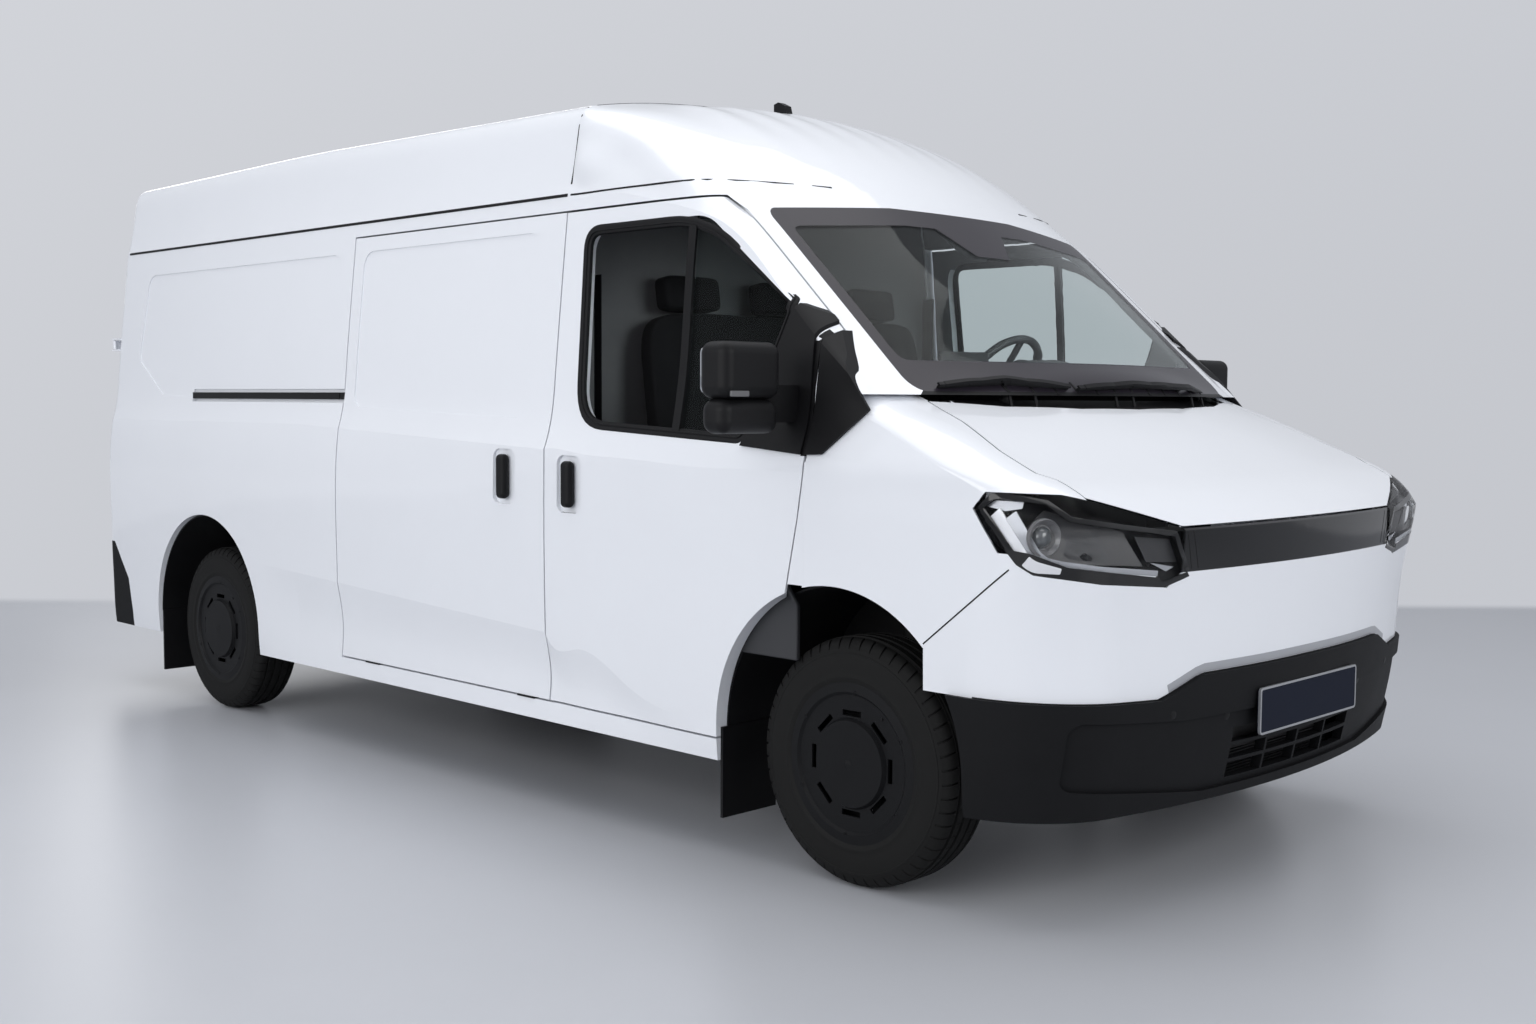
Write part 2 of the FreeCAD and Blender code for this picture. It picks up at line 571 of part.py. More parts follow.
def emboss(shares):
    points = [(a, b, size("emboss_corner")) for a, b in at_side(shares)]
    return emboss_skin.common(side_prism(points, -far, 0))


side_plain = side_rest.cut(emboss(EMBOSS_SHARES))
RAIL_SHARES = [-1.049, -0.700]
RAIL_HEIGHT_SHARE = 0.562
slide_opening = side_prism(at_side(SLIDE_LINE_SHARES), -far, 0)
rail_z = up(RAIL_HEIGHT_SHARE)
rail_face = half_width_at(rail_z, 0)
rail_slot = block(along(RAIL_SHARES[0]), along(RAIL_SHARES[1]), -far, size("track_depth") - rail_face,
                  rail_z - size("track_height") / 2, rail_z + size("track_height") / 2)
plates = [mirrored(rear_lugs(z)) for z in rear_hinge_places]
side_right = side_plain.cut(slide_opening).cut(rail_slot).fuse([cab_sill, load_sill] + plates)
side_left = side_plain.cut(emboss(DOOR_EMBOSS_SHARES)).fuse([cab_sill, load_sill] + plates)
keep("side_panel_right", side_right)
keep("side_panel_left", mirrored(side_left))

slide_zone = side_prism(shrunk(at_side(SLIDE_LINE_SHARES), gap), -far, 0)
slide_door = slide_zone.common(load_shell).cut(emboss(DOOR_EMBOSS_SHARES)).cut(recess(*slide_handle_place))
keep("sliding_door", slide_door)

# Cab panels

door_points = at_side(DOOR_LINE_SHARES)
window_points = [(along(a), up(b), out(c)) for (a, b), c in zip(WINDOW_SHARES, WINDOW_CORNER_SHARES)]
door_opening = side_prism(door_points, -far, door_depth)
foot = up(FOOT_SHARE)
front_pillar = along(FRONT_PILLAR_SHARE)
DOME_END_SHARE = -0.120
SCREEN_SHARES = [(-0.80, 0.570), (0.80, 0.570), (0.775, 0.797), (0.30, 0.812), (-0.30, 0.812),
                 (-0.775, 0.797)]
SCREEN_REACH_SHARES = (-0.20, 0.12)
screen_back, screen_front = [along(share) for share in SCREEN_REACH_SHARES]
cab_frame_zone = block(split, size("wheelbase"), -far, far, foot, roof_top)
cab_roof_zone = block(split, along(DOME_END_SHARE), -far, far, gutter, roof_top + over)
screen_points = [(a, b, size("screen_corner") if abs(a) > out(DOOR_DEPTH_SHARE) else 0)
                 for a, b in at_front(SCREEN_SHARES)]
pillar_points = shrunk(screen_points, -size("pillar_width"))
limit_points = shrunk(screen_points, -size("pillar_width") - size("door_gap"))
screen_zone = front_prism(screen_points, screen_back, screen_front)
pillar_zone = front_prism(pillar_points, screen_back, screen_front)
door_limit = front_prism(limit_points, screen_back, screen_front)
door_opening = door_opening.cut(pillar_zone)
glass_in = cab_envelope(size("glass_depth"), low_end - skin)
windscreen = cab_out.cut(glass_in).common(screen_zone)
keep("windscreen", windscreen)
cab_rest = cab_shell.common(cab_frame_zone).cut(screen_zone)
ribbed_out = cab_envelope(0, low_end, size("rib_height"))
roof_front = ribbed_out.common(cab_roof_zone).cut(cab_in).cut(screen_zone)
cab_rest = cab_rest.cut(cab_roof_zone)
pillar_half = cab_rest.common(right_half).cut(door_opening)
keep("roof_front", roof_front)

# Hinge posts, hinges and the frame round the cab

hinge_x = -size("hinge_forward")
hinge_y = size("hinge_inward") - size("half_width")
arm = size("hinge_arm")
hinge_half = size("hinge_height") / 2
post_back = hinge_x + arm / 2 + gap
nose_fit = nose_envelope(size("nose_skin") + size("fit_clearance"), 0, 0)
post = block(post_back, post_back + size("post_width"), -far, -out(POST_SHARE), -over, foot)
post = post.common(nose_fit).cut(front_arch)


def upright_rod(x, y, z_low, z_high, radius):
    return Part.makeCylinder(radius, z_high - z_low, V(x, y, z_low))


def hinge_arm(z):
    """Bent strap from the barrel inwards past the post and out to the door's inner face."""
    low, high = z - hinge_half, z + hinge_half
    inner = hinge_y + size("hinge_reach")
    end = hinge_x - size("hinge_run")
    barrel = upright_rod(hinge_x, hinge_y, low, high, size("hinge_barrel"))
    first = block(hinge_x - arm / 2, hinge_x + arm / 2, hinge_y, inner, low, high)
    second = block(end, hinge_x, inner - arm, inner, low, high)
    third = block(end, end + size("hinge_foot"), -half_width_at(z, skin) - size("hinge_sink"), inner, low, high)
    bore = upright_rod(hinge_x, hinge_y, low, high, size("hinge_pin") + size("pin_clearance"))
    return barrel.fuse([first, second, third]).cut(bore)


def hinge_lugs(z):
    """Two lugs of the post with the pin between them."""
    low, high = z - hinge_half - size("hinge_gap"), z + hinge_half + size("hinge_gap")
    half = size("hinge_barrel")
    lugs = [block(hinge_x - half, post_back + half, hinge_y - half, hinge_y + half, a, a + arm)
            for a in (low - arm, high)]
    return upright_rod(hinge_x, hinge_y, low, high, size("hinge_pin")).fuse(lugs)


hinge_places = [size("hinge_low_place"), size("hinge_high_place")]
half_frame = pillar_half.fuse([post] + [hinge_lugs(z) for z in hinge_places])
keep("cab_frame", half_frame.fuse(mirrored(half_frame)))

door_skin_in = cab_envelope(size("door_skin"), low_end - skin)
wide_zone = side_prism(shrunk(door_points, size("door_gap")), -far, door_depth)
deep_zone = side_prism(shrunk(door_points, size("door_gap") + size("door_taper")), -far, door_depth)
door = cab_out.cut(door_skin_in).common(wide_zone).fuse(cab_shell.common(deep_zone))
window_zone = side_prism(window_points, -far, door_depth)
door = door.cut(window_zone).cut(front_arch)
door = door.cut(block(split, size("wheelbase"), -far, 0, -over, sill_top + gap))
door = door.cut(door_limit).cut(recess(*door_handle_place)).fuse([hinge_arm(z) for z in hinge_places])
keep("front_door_right", door)
keep("front_door_left", mirrored(door))
pane_out = cab_envelope(size("glass_depth"), low_end - skin)
pane_in = cab_envelope(size("glass_depth") + size("glass_thick"), low_end - skin)
pane_skin = pane_out.cut(pane_in)
divider_zone = side_prism(at_side(DIVIDER_SHARES), -far, door_depth)
pane_zone = side_prism(shrunk(window_points, size("fit_clearance")), -far, door_depth).cut(door_limit)
divider = cab_out.cut(door_skin_in).common(pane_zone).common(divider_zone)
panes = pane_skin.common(pane_zone).cut(divider_zone)
quarter = panes.common(block(along(DIVIDER_SHARES[1][0]), size("wheelbase"), -far, 0, 0, roof_top))
keep("door_glass_right", quarter)
keep("door_glass_left", mirrored(panes))

# Front end panels

hood_sides = [(along(a), -out(b)) for a, b in HOOD_SIDE_SHARES]
hood_rear = [(along(a), -out(b)) for a, b in reversed(HOOD_REAR_SHARES)]
HOOD_REACH_SHARE = 0.40
HOOD_HEIGHT_SHARES = (0.40, 0.60)
HOOD_TOP_SHARE = 0.70
hood_low, hood_high = [up(share) for share in HOOD_HEIGHT_SHARES]
hood_reach = along(HOOD_REACH_SHARE)
hood_half = hood_rear + hood_sides[1:] + [(hood_reach, hood_sides[-1][1]), (hood_reach, 0)]
hood_plan = [(a, b) for a, b in hood_half] + [(a, -b) for a, b in reversed(hood_half[1:-1])]
hood_edge = at_front(HOOD_EDGE_SHARES)
edge_end = hood_edge[-1][1]
hood_top = up(HOOD_TOP_SHARE)
hood_front = [(-a, b) for a, b in reversed(hood_edge[1:])] + hood_edge
hood_front += [(far, edge_end), (far, hood_top), (-far, hood_top), (-far, edge_end)]


def hood_shape(plan, front):
    """Upright prism of the plan outline cut by the prism of the front outline."""
    return plan_prism(plan, hood_low, hood_high).common(front_prism(front, -over, size("wheelbase")))


hood_zone = hood_shape(hood_plan, hood_front)
bonnet_zone = hood_shape(shrunk(hood_plan, gap), shrunk(hood_front, gap))
bonnet_x, bonnet_y, bonnet_z = size("bonnet_hinge_x"), -size("bonnet_hinge_y"), size("bonnet_hinge_z")
barrel_r = size("hinge_barrel")
arm_end = bonnet_x + size("bonnet_arm_run")
arm_profile = [(bonnet_x, bonnet_z - barrel_r), (arm_end, bonnet_z - size("bonnet_arm_drop")),
               (arm_end, foot), (bonnet_x, bonnet_z + barrel_r)]


def level_rod(x, y, z, half_length, radius):
    return Part.makeCylinder(radius, 2 * half_length, V(x, y - half_length, z), V(0, 1, 0))


arm_zone = side_prism(arm_profile, bonnet_y - arm / 2, bonnet_y + arm / 2)
bonnet_arm = arm_zone.common(nose_envelope(size("nose_skin") / 2, 0, 0))
bonnet_arm = bonnet_arm.fuse(level_rod(bonnet_x, bonnet_y, bonnet_z, arm / 2, barrel_r))
bonnet_bore = level_rod(bonnet_x, bonnet_y, bonnet_z, arm / 2, size("hinge_pin") + size("pin_clearance"))
bonnet_arm = bonnet_arm.cut(bonnet_bore)
bonnet = nose_shell.common(bonnet_zone).fuse([bonnet_arm, mirrored(bonnet_arm)])
keep("bonnet", bonnet)
lamp_zone = front_prism(at_front(LAMP_FRONT_SHARES), -over, size("wheelbase")).common(
    side_prism(at_side(LAMP_SIDE_SHARES), -far, far))
lamp_zone = mirrored(lamp_zone)
FRONT_ZONE_SHARE = 0.10
front_zone = along(FRONT_ZONE_SHARE)
bar_zone = front_prism(at_front(BAR_SHARES), front_zone, size("wheelbase"))
lamp_in = nose_envelope(size("nose_skin") + size("lamp_extra"), 0, 0)
lamp_skin = nose_out.cut(lamp_in)
headlamp = lamp_skin.common(lamp_zone)
keep("headlamps", both(headlamp))
bar_out = nose_envelope(size("bar_recess"), 0, 0)
bar_in = nose_envelope(size("bar_recess") + size("nose_skin"), 0, 0)
keep("lamp_bar", bar_out.cut(bar_in).common(bar_zone))
BUMPER_BACK_SHARE = -0.05
bumper_zone_front = front_prism(at_front(BUMPER_TOP_SHARES), along(BUMPER_BACK_SHARE), size("wheelbase"))
fascia_zone = side_prism(at_side(FASCIA_LINE_SHARES), -far, far)
nose_rest = nose_shell.cut(hood_zone).cut(lamp_zone).cut(mirrored(lamp_zone)).cut(bar_zone)
nose_rest = nose_rest.cut(bumper_zone_front)
nose_rest = nose_rest.cut(block(-over - far, size("wheelbase"), -far, far, foot, roof_top))
fascia = nose_rest.common(fascia_zone)
keep("front_fascia", fascia)
COWL_HALF_SHARE = 0.77
COWL_CUT_SHARES = (0.50, 0.60)
cowl_half = out(COWL_HALF_SHARE)
cowl_back = block(-over - far, front_zone, -cowl_half, cowl_half, *[up(share) for share in COWL_CUT_SHARES])
fender = nose_rest.cut(fascia_zone).common(right_half).cut(door_opening).cut(front_arch)
fender = fender.cut(block(-over - far, front_pillar, -far, far, -over, roof_top)).cut(cowl_back)
keep("fenders", both(fender))
# Front bumper, lamps at the rear, cowl, mirrors and handles

BUMPER_LEVEL_SHARES = [0.1207, 0.1461, 0.1905, 0.254, 0.2965]
GRILLE_SHARES = [(-0.335, 0.140), (0.335, 0.140), (0.335, 0.199), (-0.335, 0.199)]
GRILLE_BACK_SHARE = 0.15
POCKET_SHARES = [(-0.900, 0.156), (-0.560, 0.138), (-0.440, 0.132), (0.440, 0.132), (0.560, 0.138),
                 (0.900, 0.156), (0.900, 0.229), (0.560, 0.2185), (-0.560, 0.2185), (-0.900, 0.229)]
POCKET_CORNERS = (0, 5, 6, 9)


def bumper_body(inset, proud):
    return Part.makeLoft([nose_level(share, inset, proud) for share in BUMPER_LEVEL_SHARES], True, False)


bumper_proud = size("bumper_proud")
bumper_in = bumper_body(size("bumper_skin"), bumper_proud)
bumper_shell = bumper_body(0, bumper_proud).cut(bumper_in)
front_bumper = bumper_shell.common(bumper_zone_front).cut(front_arch).cut(mirrored(front_arch))
pocket_points = [(a, b, size("pocket_corner") if i in POCKET_CORNERS else 0)
                 for i, (a, b) in enumerate(at_front(POCKET_SHARES))]
pocket_zone = front_prism(pocket_points, front_zone, size("wheelbase"))
front_bumper = front_bumper.cut(pocket_zone.cut(bumper_body(size("pocket_recess"), bumper_proud)))
grille_points = at_front(GRILLE_SHARES)
grille_back = along(GRILLE_BACK_SHARE)
grille_half, grille_low = grille_points[1]
grille_high = grille_points[2][1]
grille_zone = front_prism(grille_points, grille_back, size("wheelbase"))
bar_half = size("grille_bar") / 2
bars = []
for i in range(1, int(size("grille_columns"))):
    y = -grille_half + 2 * grille_half * i / size("grille_columns")
    bars.append(block(grille_back, size("wheelbase"), y - bar_half, y + bar_half, grille_low, grille_high))
for i in range(1, int(size("grille_rows"))):
    z = grille_low + (grille_high - grille_low) * i / size("grille_rows")
    bars.append(block(grille_back, size("wheelbase"), -grille_half, grille_half, z - bar_half, z + bar_half))
front_bumper = front_bumper.cut(grille_zone.cut(bars[0].fuse(bars[1:])))
keep("front_bumper", front_bumper)

COWL_SHARES = [(-0.05, 0.77), (0.028, 0.77), (0.052, 0.55), (0.067, 0.27), (0.0715, 0)]
COWL_LOW_SHARE = 0.530
cowl_side = [(along(a), -out(b)) for a, b in COWL_SHARES]
cowl_plan = cowl_side + [(a, -b) for a, b in reversed(cowl_side[:-1])]
cowl_zone = plan_prism(cowl_plan, up(COWL_LOW_SHARE), foot)
low_nose = nose_envelope(0, 0, size("cowl_drop"))
cowl = low_nose.common(cowl_zone)
cowl = cowl.cut(block(-far, firewall_x, -far, far, 0, roof_top))
pocket_half = size("pocket_width") / 2
pocket = block(bonnet_x - size("pocket_width"), bonnet_x + size("pocket_width"), bonnet_y - pocket_half,
               bonnet_y + pocket_half, bonnet_z - size("pocket_depth"), foot)
bonnet_lugs = []
for side in (1, -1):
    near = bonnet_y + side * (arm / 2 + size("hinge_gap"))
    away = near + side * arm
    bonnet_lugs.append(block(bonnet_x - barrel_r, bonnet_x + barrel_r, min(near, away), max(near, away),
                             bonnet_z - size("pocket_depth") - size("hinge_sink"), bonnet_z + barrel_r))
bonnet_pin = level_rod(bonnet_x, bonnet_y, bonnet_z, arm / 2 + size("hinge_gap"), size("hinge_pin"))
cowl_hinge = bonnet_pin.fuse(bonnet_lugs)
cowl = cowl.cut(pocket).cut(mirrored(pocket)).fuse([cowl_hinge, mirrored(cowl_hinge)])
SAIL_SHARES = [(-0.0330, 0.497), (-0.030, 0.640), (0.0224, 0.5487), (-0.0170, 0.4980)]
SAIL_DEPTH_SHARE = 0.8
sail_depth = -out(SAIL_DEPTH_SHARE)
sail_zone = side_prism(at_side(SAIL_SHARES), -far, sail_depth)
DOOR_SAIL_SHARES = [(-0.0375, 0.497), (-0.0375, 0.655), (-0.0600, 0.672), (-0.105, 0.505)]
proud_cab = cab_envelope(-size("sail_proud"), low_end)
proud_nose = nose_envelope(0, size("sail_proud"), 0)
fixed_sail = proud_cab.fuse(proud_nose).common(sail_zone).cut(cab_out).cut(nose_out)
door_sail_zone = side_prism(at_side(DOOR_SAIL_SHARES), -far, sail_depth).cut(door_limit)
door_sail = proud_cab.cut(cab_out).common(door_sail_zone)
keep("cowl", Part.makeCompound([cowl, fixed_sail, mirrored(fixed_sail)]))

MIRROR_SHARES = (-0.055, 0.592)
MIRROR_ARM_SHARE = 0.25
mirror_x, upper_z = at_side([MIRROR_SHARES])[0]
mirror_y = -size("half_width") - size("mirror_stand") - size("mirror_length") / 2
lower_z = upper_z - (size("mirror_height") + size("mirror_lower_height")) / 2
upper_shell = rounded_block(mirror_x, mirror_y, upper_z, size("mirror_depth"), size("mirror_length"),
                            size("mirror_height"), size("mirror_corner"))
lower_shell = rounded_block(mirror_x, mirror_y, lower_z, size("mirror_depth") - size("mirror_corner") / 2,
                            size("mirror_length"), size("mirror_lower_height"), size("mirror_corner"))
arm_y = -half_width_at(lower_z, 0)
mirror_arm = block(mirror_x - size("mirror_arm") / 2, mirror_x + size("mirror_arm") / 2, mirror_y, arm_y,
                   lower_z - size("mirror_arm") / 2, upper_z - size("mirror_height") * MIRROR_ARM_SHARE)
fittings = upper_shell.fuse([lower_shell, mirror_arm.cut(cab_out)]).fuse(door_sail)

door_handle = handle(*door_handle_place)
slide_handle = handle(*slide_handle_place)
rail_low_z = rail_z - size("rail_bar_height") / 2
rail_high_z = rail_z + size("rail_bar_height") / 2
rail_end = along(RAIL_SHARES[1]) - size("carriage_length")
rail_back_y = size("track_depth") - rail_face
rail = block(along(RAIL_SHARES[0]), rail_end, -rail_face, rail_back_y, rail_low_z, rail_high_z)
carriage = block(rail_end + gap, along(SLIDE_LINE_SHARES[2][0]) + gap, -rail_face, rail_back_y, rail_low_z,
                 rail_high_z)
GUIDE_PLACE_SHARES = (-0.40, -0.66)
GUIDE_SIDE_SHARES = (-0.985, -0.955)
guide_low = up(SLIDE_LINE_SHARES[0][1])
guide_sides = [out(share) for share in GUIDE_SIDE_SHARES]
guides = [block(along(share), along(share) + size("guide_length"), *guide_sides, guide_low, guide_low + gap)
          for share in GUIDE_PLACE_SHARES]
keep("side_trim", Part.makeCompound([slide_handle, rail, carriage] + guides))
right_pieces = [fittings, door_handle, divider]
keep("door_fittings_right", Part.makeCompound(right_pieces))
keep("door_fittings_left", Part.makeCompound([mirrored(piece) for piece in right_pieces]))
keep("tail_lamps", both(tail_lamp))


# Floor, bulkhead and inside of the cab

load_liner = load_envelope(skin + size("fit_clearance"), low_end - skin, skin + size("fit_clearance"))
liner_solid = load_liner[0].fuse(load_liner[1])
load_floor = liner_solid.common(block(rear_end - over, split, -far, far, floor_low, floor_top))
load_floor = load_floor.cut(rear_opening)
WHEEL_BOX_SHARE = 0.66
CAB_FLOOR_SHARE = 0.93
FOOT_WELL_SHARE = 0.52
WELL_START_SHARE = -0.150
HOUSE_TOP_SHARE = 0.40
wheel_inner = out(WHEEL_BOX_SHARE)
cab_half = out(CAB_FLOOR_SHARE)
foot_half = out(FOOT_WELL_SHARE)
well_x = along(WELL_START_SHARE)
post_half = out(POST_SHARE)
panel_t = size("floor_thick")
cab_plan = [(split, -cab_half), (well_x, -cab_half), (well_x, -foot_half), (firewall_x, -foot_half),
            (firewall_x, foot_half), (well_x, foot_half), (well_x, cab_half), (split, cab_half)]
cab_floor = plan_prism(cab_plan, floor_low, floor_top)
firewall = block(firewall_x - panel_t, firewall_x, -foot_half, foot_half, floor_top, foot)
house_top = up(HOUSE_TOP_SHARE)
shelf = block(firewall_x - panel_t, firewall_x, -post_half, post_half, house_top, foot)
house = block(well_x, firewall_x, -post_half, -foot_half, house_top - panel_t / 2, house_top)
house_wall = block(well_x, firewall_x, -foot_half - panel_t / 2, -foot_half, floor_low, house_top)
house_back = block(well_x - panel_t / 2, well_x, -cab_half, -foot_half, floor_low, house_top)
floor = load_floor.fuse([cab_floor, firewall, shelf, house, house_wall, house_back, mirrored(house),
                         mirrored(house_wall), mirrored(house_back)])
box_outer = Part.makeCylinder(size("arch_radius") + panel_t, far - wheel_inner, V(
    -size("wheelbase") - size("arch_back"), -far, size("tyre_radius") + size("arch_rise")), V(0, 1, 0))
box_outer = box_outer.common(liner_solid).common(block(rear_end, split, -far, 0, floor_low, roof_top))
box_cut = arch_cut(-size("wheelbase")).common(
    block(rear_end - over, split, -far, -wheel_inner - panel_t / 2, -over, roof_top))
wheel_box = box_outer.common(block(rear_end, split, -far, -wheel_inner, 0, roof_top))
floor = floor.fuse([wheel_box, mirrored(wheel_box)]).cut(box_cut).cut(mirrored(box_cut))
seat_front = size("seat_front")
base_top = floor_top + size("seat_base_height")
bench_y = -size("seat_y") + (size("bench_width") - size("seat_width")) / 2
pedestals = []
for y, width in ((size("seat_y"), size("seat_width")), (bench_y, size("bench_width"))):
    half = width / 2 - size("pedestal_inset")
    pedestals.append(block(seat_front - size("seat_length"), seat_front - size("pedestal_inset"), y - half,
                           y + half, floor_top - size("hinge_sink"), base_top))
lash_holes = [Part.makeCylinder(size("lash_hole_radius"), panel_t, V(
    size("lash_place") + along_side * size("lash_length") / 2, side * size("lash_width") / 2, floor_low))
              for along_side in (1, -1) for side in (1, -1)]
floor = floor.fuse(pedestals).cut(lash_holes)
keep("floor", floor)

bulkhead_back = split - size("bulkhead_thick") - gap
bulkhead_zone = block(bulkhead_back, bulkhead_back + size("bulkhead_thick"), -far, far, floor_top, roof_top)
keep("bulkhead", liner_solid.common(bulkhead_zone))

DASH_SHARES = [(-0.108, 0.560), (-0.100, 0.50), (-0.080, 0.43), (-0.050, 0.40), (-0.012, 0.40),
               (-0.012, 0.5665), (0.0, 0.5665), (0.0, 0.572), (-0.055, 0.583), (-0.095, 0.585)]
dash = side_prism(at_side(DASH_SHARES), -size("dash_half_width"), size("dash_half_width"))
dash = dash.cut(block(firewall_x - panel_t - size("fit_clearance"), size("wheelbase"), -far, far, 0, foot))
tilt = math.radians(size("steer_tilt"))
steer_axis = V(-math.cos(tilt), 0, math.sin(tilt))
steer_centre = V(size("steer_x"), size("steer_y"), size("steer_z"))
shroud_end = steer_centre - steer_axis * (size("column_length") + size("fit_clearance"))
shroud = Part.makeCylinder(size("shroud_radius"), size("shroud_length"), shroud_end, -steer_axis)
keep("dashboard", dash.fuse(shroud))


def whole_seat(y, width, rests):
    """Cushion, leaning back and headrests of one seat as one soft solid."""
    soft = size("seat_corner")
    cushion = rounded_block(seat_front - size("seat_length") / 2, y, base_top + size("cushion_thick") / 2,
                            size("seat_length"), width, size("cushion_thick"), soft)
    back_x = seat_front - size("seat_length")
    back = rounded_block(back_x, y, base_top + size("back_height") / 2, size("back_thick"), width,
                         size("back_height"), soft)
    heads = []
    for place in rests:
        head_z = base_top + size("back_height") + size("headrest_height") / 2 - soft * 2
        heads.append(rounded_block(back_x, place, head_z, size("back_thick") - soft, size("headrest_width"),
                                   size("headrest_height"), soft))
    upper = back.fuse(heads)
    upper.rotate(V(back_x, y, base_top), V(0, 1, 0), -size("back_lean"))
    seat = cushion.fuse(upper)
    return seat.cut(block(back_x - over, seat_front, -far, far, 0, base_top))


keep("driver_seat", whole_seat(size("seat_y"), size("seat_width"), [size("seat_y")]))
keep("passenger_bench", whole_seat(bench_y, size("bench_width"), [bench_y - size("seat_width") / 2,
                                                                  bench_y + size("seat_width") / 2]))


# Parametric helpers for turned and extruded pieces

def plane_of(body, role):
    for feature in body.Origin.OriginFeatures:
        if feature.Role == role:
            return feature


def new_body(label):
    body = DOC.addObject("PartDesign::Body", label)
    body.Label = label
    return body


def drawn(body, role, name, corners):
    """Closed sketch of straight sides whose corners are bound to expressions of the sheet's sizes."""
    sketch = body.newObject("Sketcher::SketchObject", name)
    sketch.AttachmentSupport = [(plane_of(body, role), "")]
    sketch.MapMode = "FlatFace"
    places = [(value_of(a), value_of(b)) for a, b in corners]
    count = len(places)
    for i, place in enumerate(places):
        after = places[(i + 1) % count]
        sketch.addGeometry(Part.LineSegment(V(place[0], place[1], 0), V(after[0], after[1], 0)), False)
    for i in range(count):
        sketch.addConstraint(Sketcher.Constraint("Coincident", i, 2, (i + 1) % count, 1))
    for i, (a, b) in enumerate(corners):
        for kind, words, at in (("DistanceX", a, places[i][0]), ("DistanceY", b, places[i][1])):
            number = sketch.addConstraint(Sketcher.Constraint(kind, -1, 1, i, 1, at))
            sketch.setExpression("Constraints[%d]" % number, words)
    return sketch


def value_of(words):
    """Number that an expression of the sheet's sizes gives."""
    return float(SHEET.evalExpression(words))


BEAD_SHARE = 0.43
TYRE_SHARES = [(0.55, 0.50), (0.12, 0.44), (0, 0.33), (0, -0.33), (0.12, -0.44), (0.55, -0.50)]
TYRE_CORNERS = [("sizes.rim_radius + sizes.fit_clearance", "-sizes.tyre_width * %s" % BEAD_SHARE)]
TYRE_CORNERS += [("sizes.tyre_radius - sizes.tyre_wall * %s" % a, "-sizes.tyre_width * %s" % b)
                 for a, b in TYRE_SHARES]
TYRE_CORNERS += [("sizes.rim_radius + sizes.fit_clearance", "sizes.tyre_width * %s" % BEAD_SHARE)]
DISC_CROWN_SHARE = 0.2
SLOT_START_SHARE = 1.5
COVER_LIP_SHARES = (1.5, 2.2, 2.5)
RIM_REACH_SHARE = 0.41
DISC_WALL_SHARE = 1.5
COVER_WALL_SHARE = 1.6
RIM_CORNERS = [("0", "sizes.rim_face"),
               ("sizes.cover_disc_radius", "sizes.rim_face - sizes.cover_step * %s" % DISC_CROWN_SHARE),
               ("sizes.cover_disc_radius + sizes.cover_step", "sizes.rim_face - sizes.cover_depth"),
               ("sizes.rim_radius - sizes.cover_slot_width", "sizes.rim_face - sizes.cover_depth"),
               ("sizes.rim_radius - sizes.cover_slot_width / 2", "sizes.rim_face - sizes.cover_step"),
               ("sizes.cover_radius", "sizes.rim_face - sizes.cover_step * %s" % COVER_LIP_SHARES[0]),
               ("sizes.cover_radius", "sizes.rim_face - sizes.cover_step * %s" % COVER_LIP_SHARES[1]),
               ("sizes.rim_radius", "sizes.rim_face - sizes.cover_step * %s" % COVER_LIP_SHARES[2]),
               ("sizes.rim_radius", "-sizes.tyre_width * %s" % RIM_REACH_SHARE),
               ("sizes.rim_radius - sizes.rim_wall", "-sizes.tyre_width * %s" % RIM_REACH_SHARE),
               ("sizes.rim_radius - sizes.rim_wall", "sizes.disc_place"),
               ("sizes.hub_radius", "sizes.disc_place"),
               ("sizes.hub_radius", "-sizes.hub_length"),
               ("sizes.stub_radius + sizes.pin_clearance", "-sizes.hub_length"),
               ("sizes.stub_radius + sizes.pin_clearance",
                "sizes.disc_place + sizes.rim_wall * %s" % DISC_WALL_SHARE),
               ("sizes.rim_radius - sizes.rim_wall * %s" % COVER_WALL_SHARE,
                "sizes.disc_place + sizes.rim_wall * %s" % DISC_WALL_SHARE),
               ("sizes.rim_radius - sizes.rim_wall * %s" % COVER_WALL_SHARE,
                "sizes.rim_face - sizes.cover_depth - sizes.cover_step"),
               ("sizes.cover_disc_radius", "sizes.rim_face - sizes.cover_depth - sizes.cover_step"),
               ("sizes.cover_disc_radius - sizes.cover_step", "sizes.rim_face - sizes.cover_step"),
               ("0", "sizes.rim_face - sizes.cover_step")]
WHEELS = [("front_left", "sizes.front_axle_place", 1), ("front_right", "sizes.front_axle_place", -1),
          ("rear_left", "sizes.front_axle_place - sizes.wheelbase", 1),
          ("rear_right", "sizes.front_axle_place - sizes.wheelbase", -1)]


def set_wheel_place(body, x_words, side):
    turn = FreeCAD.Rotation(V(0, 0, 1), 0 if side > 0 else 180)
    body.Placement = FreeCAD.Placement(V(), turn)
    body.setExpression("Placement.Base.x", x_words)
    body.setExpression("Placement.Base.y", ("" if side > 0 else "-") + "sizes.wheel_y")
    body.setExpression("Placement.Base.z", "sizes.tyre_radius")


def turned(body, corners, name):
    """Solid of one closed sketch turned about the wheel's axle."""
    sketch = drawn(body, "XY_Plane", name + "_profile", corners)
    solid = body.newObject("PartDesign::Revolution", name + "_turn")
    solid.Profile = sketch
    solid.ReferenceAxis = (sketch, ["V_Axis"])
    solid.Angle = 360
    DOC.recompute()
    return solid


def tyre(place, x_words, side):
    body = new_body("tyre_" + place)
    turned(body, TYRE_CORNERS, "tyre_" + place)
    set_wheel_place(body, x_words, side)


